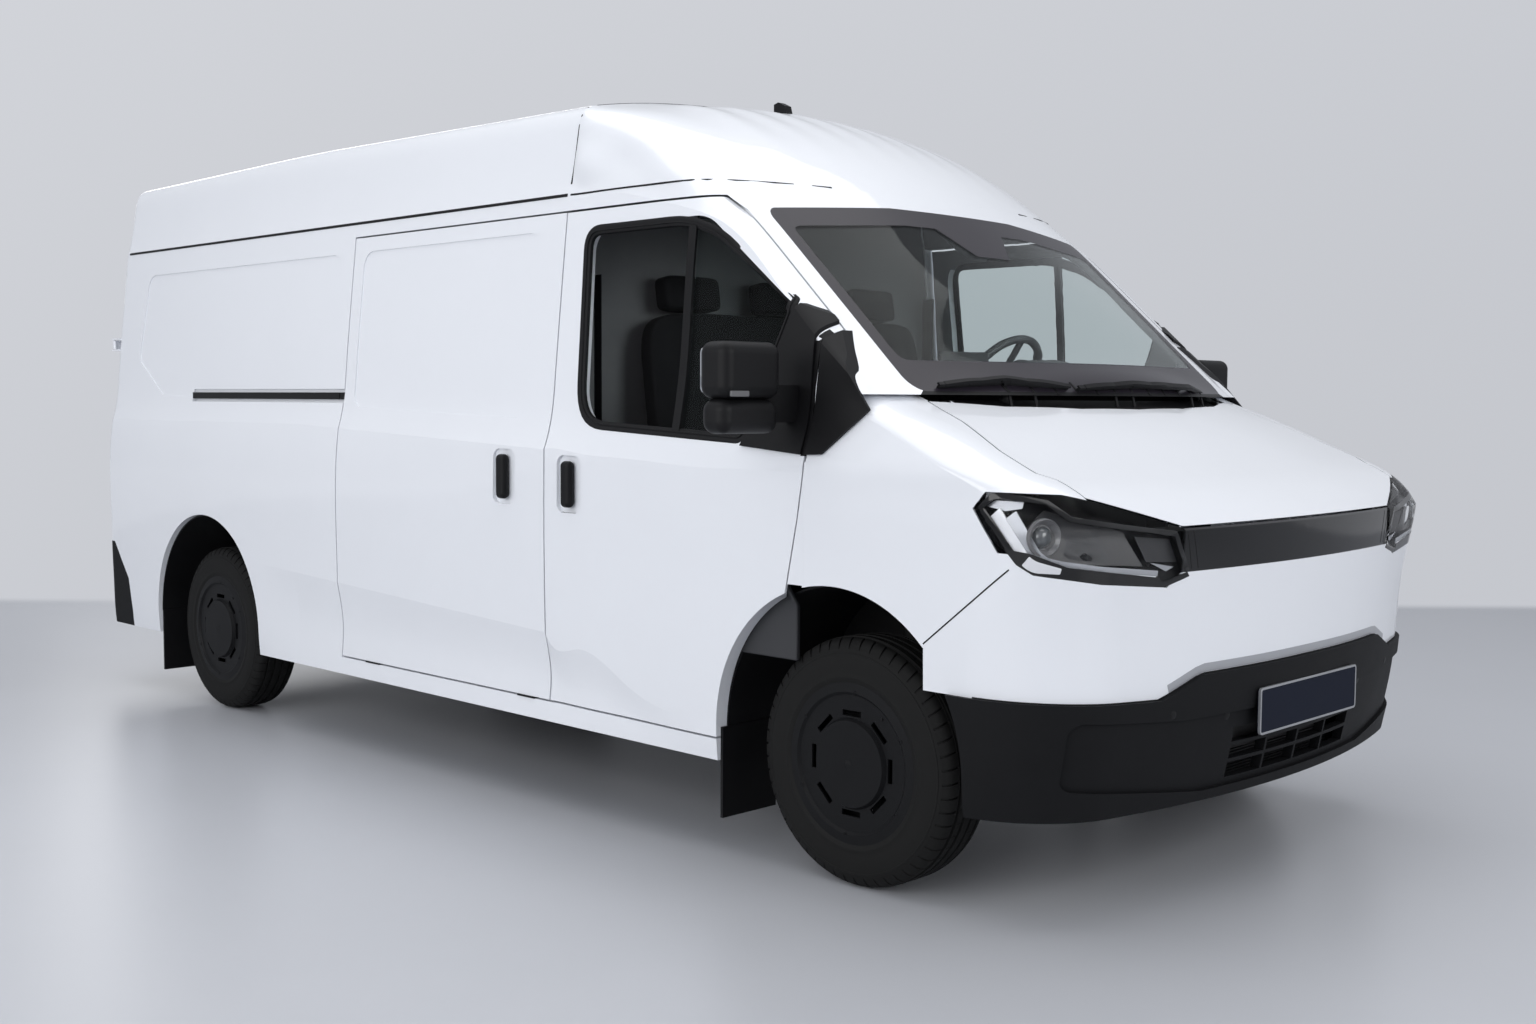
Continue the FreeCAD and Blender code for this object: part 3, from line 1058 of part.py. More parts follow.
def rim(place, x_words, side):
    """Steel wheel with its cover: a raised disc, a ring, and slots between them."""
    name = "rim_" + place
    body = new_body(name)
    turned(body, RIM_CORNERS, name)
    low = "sizes.cover_disc_radius + sizes.cover_step * %s" % SLOT_START_SHARE
    high = low + " + sizes.cover_slot_width"
    half = "sizes.cover_slot_length / 2"
    slot_corners = [(low, "-" + half), (high, "-" + half), (high, half), (low, half)]
    slot = drawn(body, "XZ_Plane", name + "_slot", slot_corners)
    cut = body.newObject("PartDesign::Pocket", name + "_cut")
    cut.Profile = slot
    cut.Type = 1
    cut.Midplane = True
    DOC.recompute()
    ring = body.newObject("PartDesign::PolarPattern", name + "_ring")
    ring.Originals = [cut]
    ring.Axis = (plane_of(body, "Y_Axis"), [""])
    ring.Angle = 360
    ring.setExpression("Occurrences", "sizes.cover_slots")
    body.Tip = ring
    DOC.recompute()
    set_wheel_place(body, x_words, side)


for place, x_words, side in WHEELS:
    tyre(place, x_words, side)
    rim(place, x_words, side)
DOC.recompute()

# Running gear

axle_z = size("tyre_radius")
stub_end = size("wheel_y") + size("disc_place")
hub_face = size("wheel_y") - size("hub_length")
clear = size("fit_clearance")


def rod(radius, start, end):
    line = end - start
    return Part.makeCylinder(radius, line.Length, start, line)


kingpin = size("kingpin_y")
block_half = size("knuckle_width") / 2
pin_low = axle_z - size("knuckle_drop")
pin_high = pin_low + size("kingpin_rise")
pin_bore = rod(size("kingpin_radius") + size("pin_clearance"), V(0, kingpin, pin_low - gap),
               V(0, kingpin, pin_high + clear))
for label, side in (("left", 1), ("right", -1)):
    stub = rod(size("stub_radius"), V(0, kingpin - block_half, axle_z), V(0, stub_end, axle_z))
    upright = block(-block_half, block_half, kingpin - size("knuckle_inner"), hub_face - gap,
                    axle_z - size("knuckle_drop"), axle_z + size("knuckle_rise"))
    knuckle = stub.fuse(upright).cut(pin_bore)
    keep("knuckle_" + label, knuckle if side > 0 else mirrored(knuckle))

CARRIER_SHARES = [0.57, 0.325, 0.355]
CARRIER_BACK_SHARE = 0.12
RAIL_FRONT_SHARE = 0.196
BEAM_SHARE = 0.55
CROSS_SHARES = [-1.24, -1.10, -0.86, -0.52, -0.20, 0.07]
OUTRIGGER_SHARES = [-0.68, -0.52, -0.34, -0.20]
rail_low = floor_low - size("rail_height")
rail_inner = size("rail_half_gap")
rail_outer = rail_inner + size("rail_width")
rail_back = rear_end + size("rail_end_inset")
rail_front = along(RAIL_FRONT_SHARE)
rails = [block(rail_back, rail_front, side * rail_inner if side > 0 else -rail_outer,
               side * rail_outer if side > 0 else -rail_inner, rail_low, floor_low) for side in (1, -1)]
crosses = []
for share in CROSS_SHARES:
    x = along(share)
    crosses.append(block(x, x + size("cross_size"), -rail_outer, rail_outer, rail_low + gap, floor_low))
beam_back = rail_front - size("cross_size") / 2
bumper_fit = bumper_body(size("bumper_skin") + size("beam_gap"), bumper_proud)
beam_half = out(BEAM_SHARE)
beam = block(beam_back, size("wheelbase"), -beam_half, beam_half, rail_low, floor_low).common(bumper_fit)
carrier_half = out(CARRIER_SHARES[0])
carrier_zone = block(along(CARRIER_BACK_SHARE), size("wheelbase"), -carrier_half, carrier_half,
                     up(CARRIER_SHARES[1]), up(CARRIER_SHARES[2]))
carrier = carrier_zone.common(nose_fit).cut(nose_envelope(size("nose_skin") + size("carrier_depth"), 0, 0))
stay_back = rail_front - size("carrier_depth") / 2
stays = [block(stay_back, stay_back + size("carrier_depth"), rail_inner, rail_outer, rail_low + gap,
               up(CARRIER_SHARES[2]))]
stays.append(mirrored(stays[0]))
outriggers = []
for share in OUTRIGGER_SHARES:
    x = along(share)
    outriggers.append(block(x, x + size("cross_size") / 2, sill_inner, -sill_inner, rail_low + gap, floor_low))
hanger_x = [-size("wheelbase") - size("leaf_half_length"), -size("wheelbase") + size("leaf_half_length")]
leaf_out = size("leaf_y") + size("leaf_width") / 2
leaf_in = size("leaf_y") - size("leaf_width") / 2
leaf_low = axle_z + size("axle_radius") + clear
leaf_rise = size("leaf_rise")
hangers = []
for x in hanger_x:
    hanger = block(x - size("cross_size") / 2, x + size("cross_size") / 2, rail_inner, leaf_out,
                   leaf_low + leaf_rise + size("leaf_thick") + clear, floor_low)
    hangers += [hanger, mirrored(hanger)]
frame = rails[0].fuse([rails[1], beam, carrier] + stays + crosses + outriggers + hangers)
tow_x = rear_end + size("tow_hole_place") - size("tow_hole_pitch") / 2
tow_z = rail_low + size("rail_height") / 2
tow_holes = [rod(size("tow_hole_radius"), V(x, -far, tow_z), V(x, far, tow_z))
             for x in (tow_x, tow_x + size("tow_hole_pitch"))]
frame = frame.cut(tow_holes[0].fuse(tow_holes[1]))
keep("chassis_frame", frame)

leaf_arc = []
for lift in (0, size("leaf_thick")):
    leaf_arc.append(Part.Arc(V(hanger_x[0], leaf_in, leaf_low + leaf_rise + lift),
                             V(-size("wheelbase"), leaf_in, leaf_low + lift),
                             V(hanger_x[1], leaf_in, leaf_low + leaf_rise + lift)).toShape())
ends = [Part.makeLine(leaf_arc[0].Vertexes[i].Point, leaf_arc[1].Vertexes[i].Point) for i in (0, 1)]
leaf_wire = Part.Wire(Part.__sortEdges__([leaf_arc[0], ends[0], leaf_arc[1], ends[1]]))
leaf = Part.Face(leaf_wire).extrude(V(0, size("leaf_width"), 0))
rear_hub = hub_face - gap
axle = rod(size("axle_radius"), V(-size("wheelbase"), -rear_hub, axle_z), V(-size("wheelbase"), rear_hub, axle_z))
axle = axle.fuse(rod(size("stub_radius"), V(-size("wheelbase"), -stub_end, axle_z),
                     V(-size("wheelbase"), stub_end, axle_z)))
keep("rear_axle", Part.makeCompound([axle, leaf, mirrored(leaf)]))

arm_top = axle_z - size("knuckle_drop") - size("joint_gap")
arm_low = arm_top - size("arm_thick")
subframe = block(-size("subframe_length") / 2, size("subframe_length") / 2, -rail_outer, rail_outer, arm_low,
                 arm_top)
risers = [block(-size("cross_size") / 2, size("cross_size") / 2, side * rail_inner if side > 0 else -rail_outer,
                side * rail_outer if side > 0 else -rail_inner, arm_low, rail_low) for side in (1, -1)]
ARM_END_SHARES = (0.6, 0.4)
arm_tip = block_half * ARM_END_SHARES[0]
arm_side = kingpin + block_half * ARM_END_SHARES[1]
arm_plan = [(-size("subframe_length") / 2, rail_inner), (size("subframe_length") / 2, rail_inner),
            (arm_tip, arm_side), (-arm_tip, arm_side)]
lower_arm = plan_prism(arm_plan, arm_low, arm_top)
lower_arm = lower_arm.fuse(rod(size("kingpin_radius"), V(0, kingpin, arm_low), V(0, kingpin, pin_high)))
strut_low = axle_z + size("knuckle_rise") + size("joint_gap")
strut_y = kingpin - size("strut_inset")
liner_in = size("arch_radius") - size("liner_thick") - clear
strut_reach = size("arch_back") + size("strut_radius")
strut_top = axle_z + size("arch_rise") + math.sqrt(liner_in ** 2 - strut_reach ** 2)
strut = rod(size("strut_radius"), V(0, strut_y, strut_low), V(0, strut_y, strut_top))
front_suspension = subframe.fuse(risers + [lower_arm, mirrored(lower_arm)])
keep("front_suspension", Part.makeCompound([front_suspension, strut, mirrored(strut)]))

DRIVE_SHARE = 0.022
PACK_SHARE = -0.22
drive_x, drive_z = along(DRIVE_SHARE), floor_low + clear
keep("drive_unit", block(drive_x, drive_x + size("drive_length"), -size("drive_width") / 2,
                         size("drive_width") / 2, drive_z, drive_z + size("drive_height")))
pack_front = along(PACK_SHARE)
keep("battery_pack", block(pack_front - size("pack_length"), pack_front, -size("pack_width") / 2,
                           size("pack_width") / 2, floor_low - size("pack_height"), floor_low).cut(frame))


def liner(x, low_y, high_y):
    """Thin half-round cover over one wheel."""
    centre = V(x - size("arch_back"), low_y, axle_z + size("arch_rise"))
    outer = Part.makeCylinder(size("arch_radius") - clear, high_y - low_y, centre, V(0, 1, 0))
    inner = Part.makeCylinder(size("arch_radius") - size("liner_thick"), high_y - low_y, centre, V(0, 1, 0))
    half = block(centre.x - over - far, centre.x + over + far, low_y, high_y, centre.z, roof_top)
    return outer.cut(inner).common(half)


LINER_SHARES = (0.95, 0.975)
FLAP_SHARE = 0.76
front_liner = liner(0, foot_half + panel_t / 2 + clear, out(LINER_SHARES[0]))
rear_liner = liner(-size("wheelbase"), wheel_inner + panel_t / 2 + clear, out(LINER_SHARES[1]))
flaps = []
inner = out(FLAP_SHARE)
for x in (0, -size("wheelbase")):
    back = x - size("arch_back") - size("arch_radius")
    flap = block(back, back + size("flap_thick"), inner, inner + size("flap_width"), sill_low - size("flap_height"),
                 axle_z + size("arch_rise"))
    flaps.append(flap)
liners = [front_liner.fuse(flaps[0]), rear_liner.fuse(flaps[1])]
keep("arch_liners", Part.makeCompound([shape for item in liners for shape in (item, mirrored(item))]))

# Steering wheel with its column

ring = Part.makeTorus(size("wheel_ring_radius"), size("wheel_ring_tube"), steer_centre, steer_axis)
hub_half = steer_axis * size("column_radius")
boss = rod(size("steer_hub_radius"), steer_centre - hub_half, steer_centre + hub_half)
SPOKE_SHARE = 0.8
spokes = []
across = V(0, 1, 0)
for turn in (0, 180, 270):
    angle = math.radians(turn)
    reach = (across * math.cos(angle) + steer_axis.cross(across) * math.sin(angle)) * size("wheel_ring_radius")
    spokes.append(rod(size("wheel_ring_tube") * SPOKE_SHARE, steer_centre, steer_centre + reach))
shaft = rod(size("column_radius"), steer_centre, steer_centre - steer_axis * size("column_length"))
keep("steering_wheel", ring.fuse([boss, shaft] + spokes))

# Antenna on the front roof

FIN_PLACE_SHARES = (-0.345, 0.990)
FIN_SHARES = [(0, -1), (1, -1), (0.75, 0.6), (0.3, 1), (0, 0.85)]
fin_x, fin_z = at_side([FIN_PLACE_SHARES])[0]
fin_points = [(fin_x + a * size("antenna_length"), fin_z + b * size("antenna_height")) for a, b in FIN_SHARES]
fin = side_prism(fin_points, -size("antenna_width") / 2, size("antenna_width") / 2).cut(ribbed_out)
keep("antenna", fin)

# Checks and files

DOC.recompute()
pieces = [item for item in DOC.Objects if item.TypeId in ("Part::Feature", "PartDesign::Body")]
for item in DOC.Objects:
    if "Invalid" in item.State or "Error" in item.State:
        raise RuntimeError("failed: " + item.Name)
for item in pieces:
    if item.Shape.isNull() or not item.Shape.isValid():
        raise RuntimeError("not valid: " + item.Label)
os.makedirs("parts", exist_ok=True)
for item in pieces:
    item.Shape.exportStep("parts/%s.step" % item.Label)
print(len(pieces), "pieces written")
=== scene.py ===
# %% [markdown]
# A high-roof panel van in a pale studio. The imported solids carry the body, doors, wheels and running gear.
# This script gives every solid its finish and adds what is too fine for the solids: seams, seals, lamps,
# tread, wipers, trim and soft seats. Lengths are metres, X points forward, Y to the van's left, Z up.

# %% Set up
import math

import bmesh
import bpy
import numpy as np
from mathutils import Matrix, Vector
from mathutils.bvhtree import BVHTree


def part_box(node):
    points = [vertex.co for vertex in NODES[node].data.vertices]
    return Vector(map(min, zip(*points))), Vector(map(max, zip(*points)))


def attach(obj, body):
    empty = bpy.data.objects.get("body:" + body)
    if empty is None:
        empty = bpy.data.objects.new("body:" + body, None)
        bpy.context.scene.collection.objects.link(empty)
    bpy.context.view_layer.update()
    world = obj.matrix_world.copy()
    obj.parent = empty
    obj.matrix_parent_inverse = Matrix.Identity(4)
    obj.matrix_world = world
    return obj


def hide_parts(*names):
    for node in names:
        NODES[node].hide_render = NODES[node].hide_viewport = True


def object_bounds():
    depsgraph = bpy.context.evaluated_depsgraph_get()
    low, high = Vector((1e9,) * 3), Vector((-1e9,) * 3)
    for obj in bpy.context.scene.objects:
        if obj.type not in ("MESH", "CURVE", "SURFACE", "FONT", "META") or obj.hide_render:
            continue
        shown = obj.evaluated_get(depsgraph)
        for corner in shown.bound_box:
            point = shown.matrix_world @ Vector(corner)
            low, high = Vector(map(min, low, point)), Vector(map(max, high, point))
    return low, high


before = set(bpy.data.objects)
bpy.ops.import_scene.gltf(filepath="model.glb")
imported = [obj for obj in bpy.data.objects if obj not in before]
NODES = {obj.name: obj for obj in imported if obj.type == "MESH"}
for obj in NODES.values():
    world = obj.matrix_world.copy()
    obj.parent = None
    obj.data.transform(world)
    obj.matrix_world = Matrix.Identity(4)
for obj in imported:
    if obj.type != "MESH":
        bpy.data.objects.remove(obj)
CAD_LOW, CAD_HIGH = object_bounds()

# %% [markdown]
# Places shared by many pieces. The front axle stands at FRONT_X and the rear one at REAR_X. Some tables below
# hold shares of WHEELBASE, ROOF_Z and HALF_WIDTH, so that they keep the proportions that the solids follow.

# %% Shared places
WHEELBASE = 3.570
FRONT_X = 1.854
REAR_X = FRONT_X - WHEELBASE
ROOF_Z = 2.362
HALF_WIDTH = 1.030
WHEEL_Y = 0.877
WHEEL_Z = 0.342


def between(table, place):
    """Value in a table of (place, value) rows, straight between them."""
    places, values = zip(*table)
    return float(np.interp(place, places, values))


print("front axle", FRONT_X, "rear axle", round(REAR_X, 3))

# %% [markdown]
# Node groups that several materials share: a fine grain that lifts the surface, and a soft mottling that
# varies colour and roughness. Short helpers add nodes and set their inputs by name.

# %% Shared node groups
def set_inputs(node, **values):
    """Sets inputs by name, where an underscore stands for a space."""
    for label, value in values.items():
        node.inputs[label.replace("_", " ")].default_value = value
    return node


def new_node(tree, kind, **values):
    return set_inputs(tree.nodes.new("ShaderNode" + kind), **values)


def colour_mix(tree, low, high):
    node = tree.nodes.new("ShaderNodeMix")
    node.data_type = "RGBA"
    return set_inputs(node, A=(*low, 1.0), B=(*high, 1.0))


def group_node(tree, group, **values):
    node = tree.nodes.new("ShaderNodeGroup")
    node.node_tree = group
    return set_inputs(node, **values)


def group_with(name, inputs, outputs):
    """New group with float inputs and their usual values, and outputs of the kinds given."""
    group = bpy.data.node_groups.new(name, "ShaderNodeTree")
    for label, value in inputs.items():
        socket = group.interface.new_socket(label, in_out="INPUT", socket_type="NodeSocketFloat")
        socket.default_value = value
    for label, kind in outputs.items():
        group.interface.new_socket(label, in_out="OUTPUT", socket_type=kind)
    return group, group.nodes.new("NodeGroupInput"), group.nodes.new("NodeGroupOutput")


def make_grain():
    group, start, end = group_with("surface_grain", {"Scale": 400.0, "Height": 0.0002, "Roundness": 0.5},
                                   {"Normal": "NodeSocketVector", "Mask": "NodeSocketFloat"})
    place = new_node(group, "TexCoord")
    cells = new_node(group, "TexVoronoi")
    noise = new_node(group, "TexNoise", Detail=4.0)
    mix = new_node(group, "Mix")
    bump = new_node(group, "Bump", Strength=1.0)
    link = group.links.new
    for texture in (cells, noise):
        link(place.outputs["Object"], texture.inputs["Vector"])
        link(start.outputs["Scale"], texture.inputs["Scale"])
    link(start.outputs["Roundness"], mix.inputs["Factor"])
    link(noise.outputs["Fac"], mix.inputs["A"])
    link(cells.outputs["Distance"], mix.inputs["B"])
    link(mix.outputs["Result"], bump.inputs["Height"])
    link(start.outputs["Height"], bump.inputs["Distance"])
    link(bump.outputs["Normal"], end.inputs["Normal"])
    link(mix.outputs["Result"], end.inputs["Mask"])
    return group


def make_mottle():
    group, start, end = group_with("soft_mottle", {"Scale": 3.0}, {"Mask": "NodeSocketFloat"})
    place = new_node(group, "TexCoord")
    noise = new_node(group, "TexNoise", Detail=5.0, Roughness=0.6)
    link = group.links.new
    link(place.outputs["Object"], noise.inputs["Vector"])
    link(start.outputs["Scale"], noise.inputs["Scale"])
    link(noise.outputs["Fac"], end.inputs["Mask"])
    return group


GRAIN = make_grain()
MOTTLE = make_mottle()
print("groups:", GRAIN.name, MOTTLE.name)

# %% [markdown]
# One function builds the common kind of finish: two close colours and two roughness values mixed by the
# mottling, and a grain that lifts the surface.

# %% Finishes
COAT_ROUGHNESS = 0.04


def new_material(name):
    material = bpy.data.materials.new(name)
    material.use_nodes = True
    return material, material.node_tree, material.node_tree.nodes["Principled BSDF"]


def mottled(tree, surface, scale, low, high, rough_low, rough_high):
    """Gives the surface two close colours and two roughness values, mixed by the mottling."""
    mottle = group_node(tree, MOTTLE, Scale=scale)
    colour = colour_mix(tree, low, high)
    rough = new_node(tree, "MapRange", To_Min=rough_low, To_Max=rough_high)
    tree.links.new(mottle.outputs["Mask"], colour.inputs["Factor"])
    tree.links.new(colour.outputs["Result"], surface.inputs["Base Color"])
    tree.links.new(mottle.outputs["Mask"], rough.inputs["Value"])
    tree.links.new(rough.outputs["Result"], surface.inputs["Roughness"])


def finish(name, low, high, rough_low, rough_high, grain_scale, grain_height, mottle_scale=6.0, roundness=0.5,
           metallic=0.0, coat=0.0, sheen=0.0, shine=0.5):
    material, tree, surface = new_material(name)
    set_inputs(surface, Metallic=metallic, Coat_Weight=coat, Coat_Roughness=COAT_ROUGHNESS,
               Sheen_Weight=sheen, Specular_IOR_Level=shine)
    mottled(tree, surface, mottle_scale, low, high, rough_low, rough_high)
    grain = group_node(tree, GRAIN, Scale=grain_scale, Height=grain_height, Roundness=roundness)
    tree.links.new(grain.outputs["Normal"], surface.inputs["Normal"])
    return material


PAINT = finish("paint_white", (0.78, 0.80, 0.84), (0.81, 0.83, 0.87), 0.30, 0.36, 900.0, 0.00002, 2.0, 0.0,
               coat=0.8)
# Darker grey copy of the white paint: painted shade for the fascia's lower edge, which turns under above the
# bumper.
FASCIA_SHADE_PAINT = finish("fascia_lip_painted_shade", (0.30, 0.31, 0.335), (0.34, 0.35, 0.375), 0.34, 0.40, 900.0, 0.00002, coat=0.6)
TEXTURED = finish("moulding_grained", (0.0055, 0.0057, 0.0065), (0.009, 0.0093, 0.0105), 0.52, 0.64, 900.0,
                  0.00022, shine=0.12)
BLACK = finish("moulding_black", (0.0045, 0.0045, 0.0052), (0.008, 0.008, 0.009), 0.42, 0.54, 1400.0, 0.00008,
               shine=0.18)
GLOSS = finish("gloss_black", (0.0035, 0.0035, 0.004), (0.006, 0.006, 0.0065), 0.06, 0.10, 900.0, 0.000006,
               shine=0.3, coat=0.35)
COVER = finish("wheel_cover_black", (0.0045, 0.0047, 0.0055), (0.0075, 0.0078, 0.0088), 0.44, 0.56, 1200.0,
               0.00008, shine=0.15)
TYRE = finish("tyre_rubber", (0.006, 0.006, 0.006), (0.011, 0.011, 0.0108), 0.62, 0.80, 700.0, 0.00020,
              shine=0.18)
SEAL = finish("seal_rubber", (0.005, 0.005, 0.006), (0.009, 0.009, 0.010), 0.50, 0.65, 1500.0, 0.00005,
              shine=0.2)
CHASSIS = finish("chassis_black", (0.008, 0.008, 0.009), (0.016, 0.0155, 0.015), 0.45, 0.70, 300.0, 0.0003,
                 shine=0.2)
IRON = finish("forged_iron", (0.05, 0.048, 0.046), (0.11, 0.10, 0.095), 0.45, 0.65, 250.0, 0.0004,
              metallic=0.7)
ALLOY = finish("cast_alloy", (0.34, 0.34, 0.35), (0.46, 0.46, 0.47), 0.40, 0.55, 300.0, 0.0004, metallic=0.9)
INNER = finish("inner_grey", (0.10, 0.10, 0.105), (0.14, 0.14, 0.145), 0.42, 0.55, 700.0, 0.00005)
LINING = finish("cab_lining", (0.13, 0.135, 0.14), (0.17, 0.175, 0.18), 0.70, 0.85, 1100.0, 0.0002, shine=0.2)
CAB = finish("cab_plastic", (0.020, 0.021, 0.024), (0.034, 0.035, 0.039), 0.50, 0.65, 1000.0, 0.0002)
CLOTH = finish("seat_cloth", (0.005, 0.005, 0.006), (0.011, 0.011, 0.012), 0.85, 0.95, 1600.0, 0.0001,
               sheen=0.02, shine=0.12)
RED = finish("red_lens", (0.20, 0.004, 0.004), (0.30, 0.008, 0.008), 0.06, 0.10, 200.0, 0.0001, coat=1.0)
SILVER = finish("guide_trim", (0.30, 0.31, 0.33), (0.40, 0.41, 0.44), 0.22, 0.30, 600.0, 0.00005,
                metallic=0.3)
GLOW = finish("light_guide", (0.62, 0.63, 0.66), (0.74, 0.75, 0.78), 0.20, 0.28, 600.0, 0.00005, coat=0.6)
LAMP_DARK = finish("lamp_smoked", (0.008, 0.008, 0.009), (0.014, 0.014, 0.016), 0.20, 0.34, 600.0, 0.00004,
                   shine=0.3)
LAMP_GREY = finish("lamp_chamber", (0.022, 0.022, 0.024), (0.032, 0.032, 0.035), 0.30, 0.42, 600.0, 0.00004)
LAMP_FIELD = finish("lamp_field", (0.42, 0.40, 0.40), (0.52, 0.50, 0.50), 0.12, 0.2, 300.0, 0.00006, coat=0.8)
EYE = finish("projector_glass", (0.05, 0.055, 0.06), (0.08, 0.085, 0.09), 0.02, 0.05, 300.0, 0.00001,
             coat=1.0)
TRIM_GREY = finish("trim_grey", (0.10, 0.10, 0.105), (0.14, 0.14, 0.145), 0.25, 0.35, 500.0, 0.00003,
                   coat=0.5)
TRIM_SILVER = finish("trim_silver", (0.34, 0.35, 0.37), (0.42, 0.43, 0.45), 0.25, 0.35, 900.0, 0.00002,
                     metallic=0.6)
MIRROR = finish("mirror_glass", (0.60, 0.62, 0.64), (0.64, 0.66, 0.68), 0.01, 0.02, 100.0, 0.000002,
                metallic=1.0)
PLATE = finish("plate_blank", (0.0065, 0.009, 0.019), (0.009, 0.012, 0.024), 0.55, 0.65, 900.0, 0.00003,
               shine=0.1)
print("finishes:", len(bpy.data.materials))

# %% [markdown]
# Glass lets light through untinted in its shadow and reflects by its angle. The windscreen also carries a
# dark band along its edge, wider at the foot and round the camera at the top.

# %% Glass
GLASS_IOR = 1.12
BAND_COLOUR = (0.018, 0.015, 0.021, 1.0)
SCREEN_FOOT, SCREEN_TOP, SCREEN_HALF = 1.346, 1.918, 0.824


class Sums:
    """Short way to write sums of node outputs inside one material."""

    def __init__(self, tree):
        self.tree = tree

    def op(self, kind, a, b=None, c=None):
        node = self.tree.nodes.new("ShaderNodeMath")
        node.operation = kind
        for i, value in enumerate((a, b, c)):
            if value is None:
                continue
            if isinstance(value, (int, float)):
                node.inputs[i].default_value = value
            else:
                self.tree.links.new(value, node.inputs[i])
        return node.outputs[0]


def shader_mix(tree, factor, first, second):
    """Mixes two shaders and returns the mixed one."""
    node = new_node(tree, "MixShader")
    for socket, source in zip(node.inputs, (factor, first, second)):
        tree.links.new(source, socket)
    return node.outputs["Shader"]


def glass(name, tint, band=None):
    material, tree, surface = new_material(name)
    colour = (*tint, 1.0)
    set_inputs(surface, Base_Color=colour, Roughness=0.0, Transmission_Weight=1.0, IOR=GLASS_IOR)
    clear = new_node(tree, "BsdfTransparent", Color=colour)
    path = new_node(tree, "LightPath")
    shader = shader_mix(tree, path.outputs["Is Shadow Ray"], surface.outputs["BSDF"], clear.outputs["BSDF"])
    if band:
        dark = new_node(tree, "BsdfPrincipled", Base_Color=BAND_COLOUR, Roughness=0.30,
                        Specular_IOR_Level=0.30)
        shader = shader_mix(tree, band(tree), shader, dark.outputs["BSDF"])
    tree.links.new(shader, tree.nodes["Material Output"].inputs["Surface"])
    return material


def screen_band(tree):
    """1 in the dark band of the windscreen and 0 in its clear middle, from the height and side place."""
    sums = Sums(tree)
    place = tree.nodes.new("ShaderNodeTexCoord")
    split = tree.nodes.new("ShaderNodeSeparateXYZ")
    tree.links.new(place.outputs["Object"], split.inputs["Vector"])
    side, height = sums.op("ABSOLUTE", split.outputs["Y"]), split.outputs["Z"]
    edge = sums.op("MULTIPLY_ADD", height, -0.045, SCREEN_HALF + 0.045 * SCREEN_FOOT)
    from_edge = sums.op("SUBTRACT", edge, side)
    bow = sums.op("MAXIMUM", sums.op("SUBTRACT", side, 0.31), 0.0)
    from_top = sums.op("SUBTRACT", sums.op("MULTIPLY_ADD", bow, -0.072, SCREEN_TOP), height)
    from_foot = sums.op("SUBTRACT", height, SCREEN_FOOT)
    beside_camera = sums.op("MAXIMUM", sums.op("SUBTRACT", side, 0.085), 0.0)
    around_camera = sums.op("ADD", from_top, sums.op("MULTIPLY_ADD", beside_camera, 1.0, -0.145))
    near = sums.op("SUBTRACT", from_edge, 0.042)
    near = sums.op("SMOOTH_MIN", near, sums.op("SUBTRACT", from_top, 0.058), 0.04)
    near = sums.op("SMOOTH_MIN", near, sums.op("SUBTRACT", from_foot, 0.085), 0.05)
    near = sums.op("SMOOTH_MIN", near, around_camera, 0.01)
    return sums.op("LESS_THAN", near, 0.0)


SCREEN = glass("windscreen_glass", (0.87, 0.93, 0.925), screen_band)
PANE = glass("door_glass", (0.72, 0.77, 0.76))
LENS = glass("lamp_lens", (0.90, 0.91, 0.92))
print("glass:", SCREEN.name, PANE.name, LENS.name)

# %% [markdown]
# Every solid gets the finish of the real piece. Faces of the cab's shell that look inwards get the pale
# lining, and the foot of the cab's frame under the windscreen is black.

# %% Dress the solids
FINISH_OF = {
    PAINT: ["roof_rear", "roof_front", "rear_door_left", "rear_door_right", "side_panel_right",
            "side_panel_left", "sliding_door", "cab_frame", "front_door_right", "front_door_left", "bonnet",
            "front_fascia", "fenders"],
    TEXTURED: ["front_bumper", "rear_bumper"],
    BLACK: ["cowl", "side_trim", "arch_liners", "antenna", "door_fittings_left", "door_fittings_right"],
    GLOSS: ["lamp_bar"],
    SCREEN: ["windscreen"],
    PANE: ["door_glass_left", "door_glass_right"],
    RED: ["tail_lamps"],
    CHASSIS: ["chassis_frame", "front_suspension", "battery_pack", "floor"],
    IRON: ["rear_axle", "knuckle_left", "knuckle_right"],
    ALLOY: ["drive_unit"],
    INNER: ["bulkhead"],
    CAB: ["dashboard", "steering_wheel"],
    CLOTH: ["driver_seat", "passenger_bench"],
    LENS: ["headlamps"],
    COVER: ["rim_front_left", "rim_front_right", "rim_rear_left", "rim_rear_right"],
    TYRE: ["tyre_front_left", "tyre_front_right", "tyre_rear_left", "tyre_rear_right"],
}
for material, names in FINISH_OF.items():
    for name in names:
        mesh = NODES[name].data
        mesh.materials.clear()
        mesh.materials.append(material)
        mesh.polygons.foreach_set("material_index", np.zeros(len(mesh.polygons), np.int32))
CAB_MIDDLE = np.array((1.05, 0.0, 1.35))
FOOT_X, FOOT_HALF, FOOT_TOP = 1.90, 0.80, 1.352


def face_rows(mesh, attribute):
    """One row of three numbers for each face, such as its centre or its normal."""
    values = np.empty(len(mesh.polygons) * 3)
    mesh.polygons.foreach_get(attribute, values)
    return values.reshape(-1, 3)


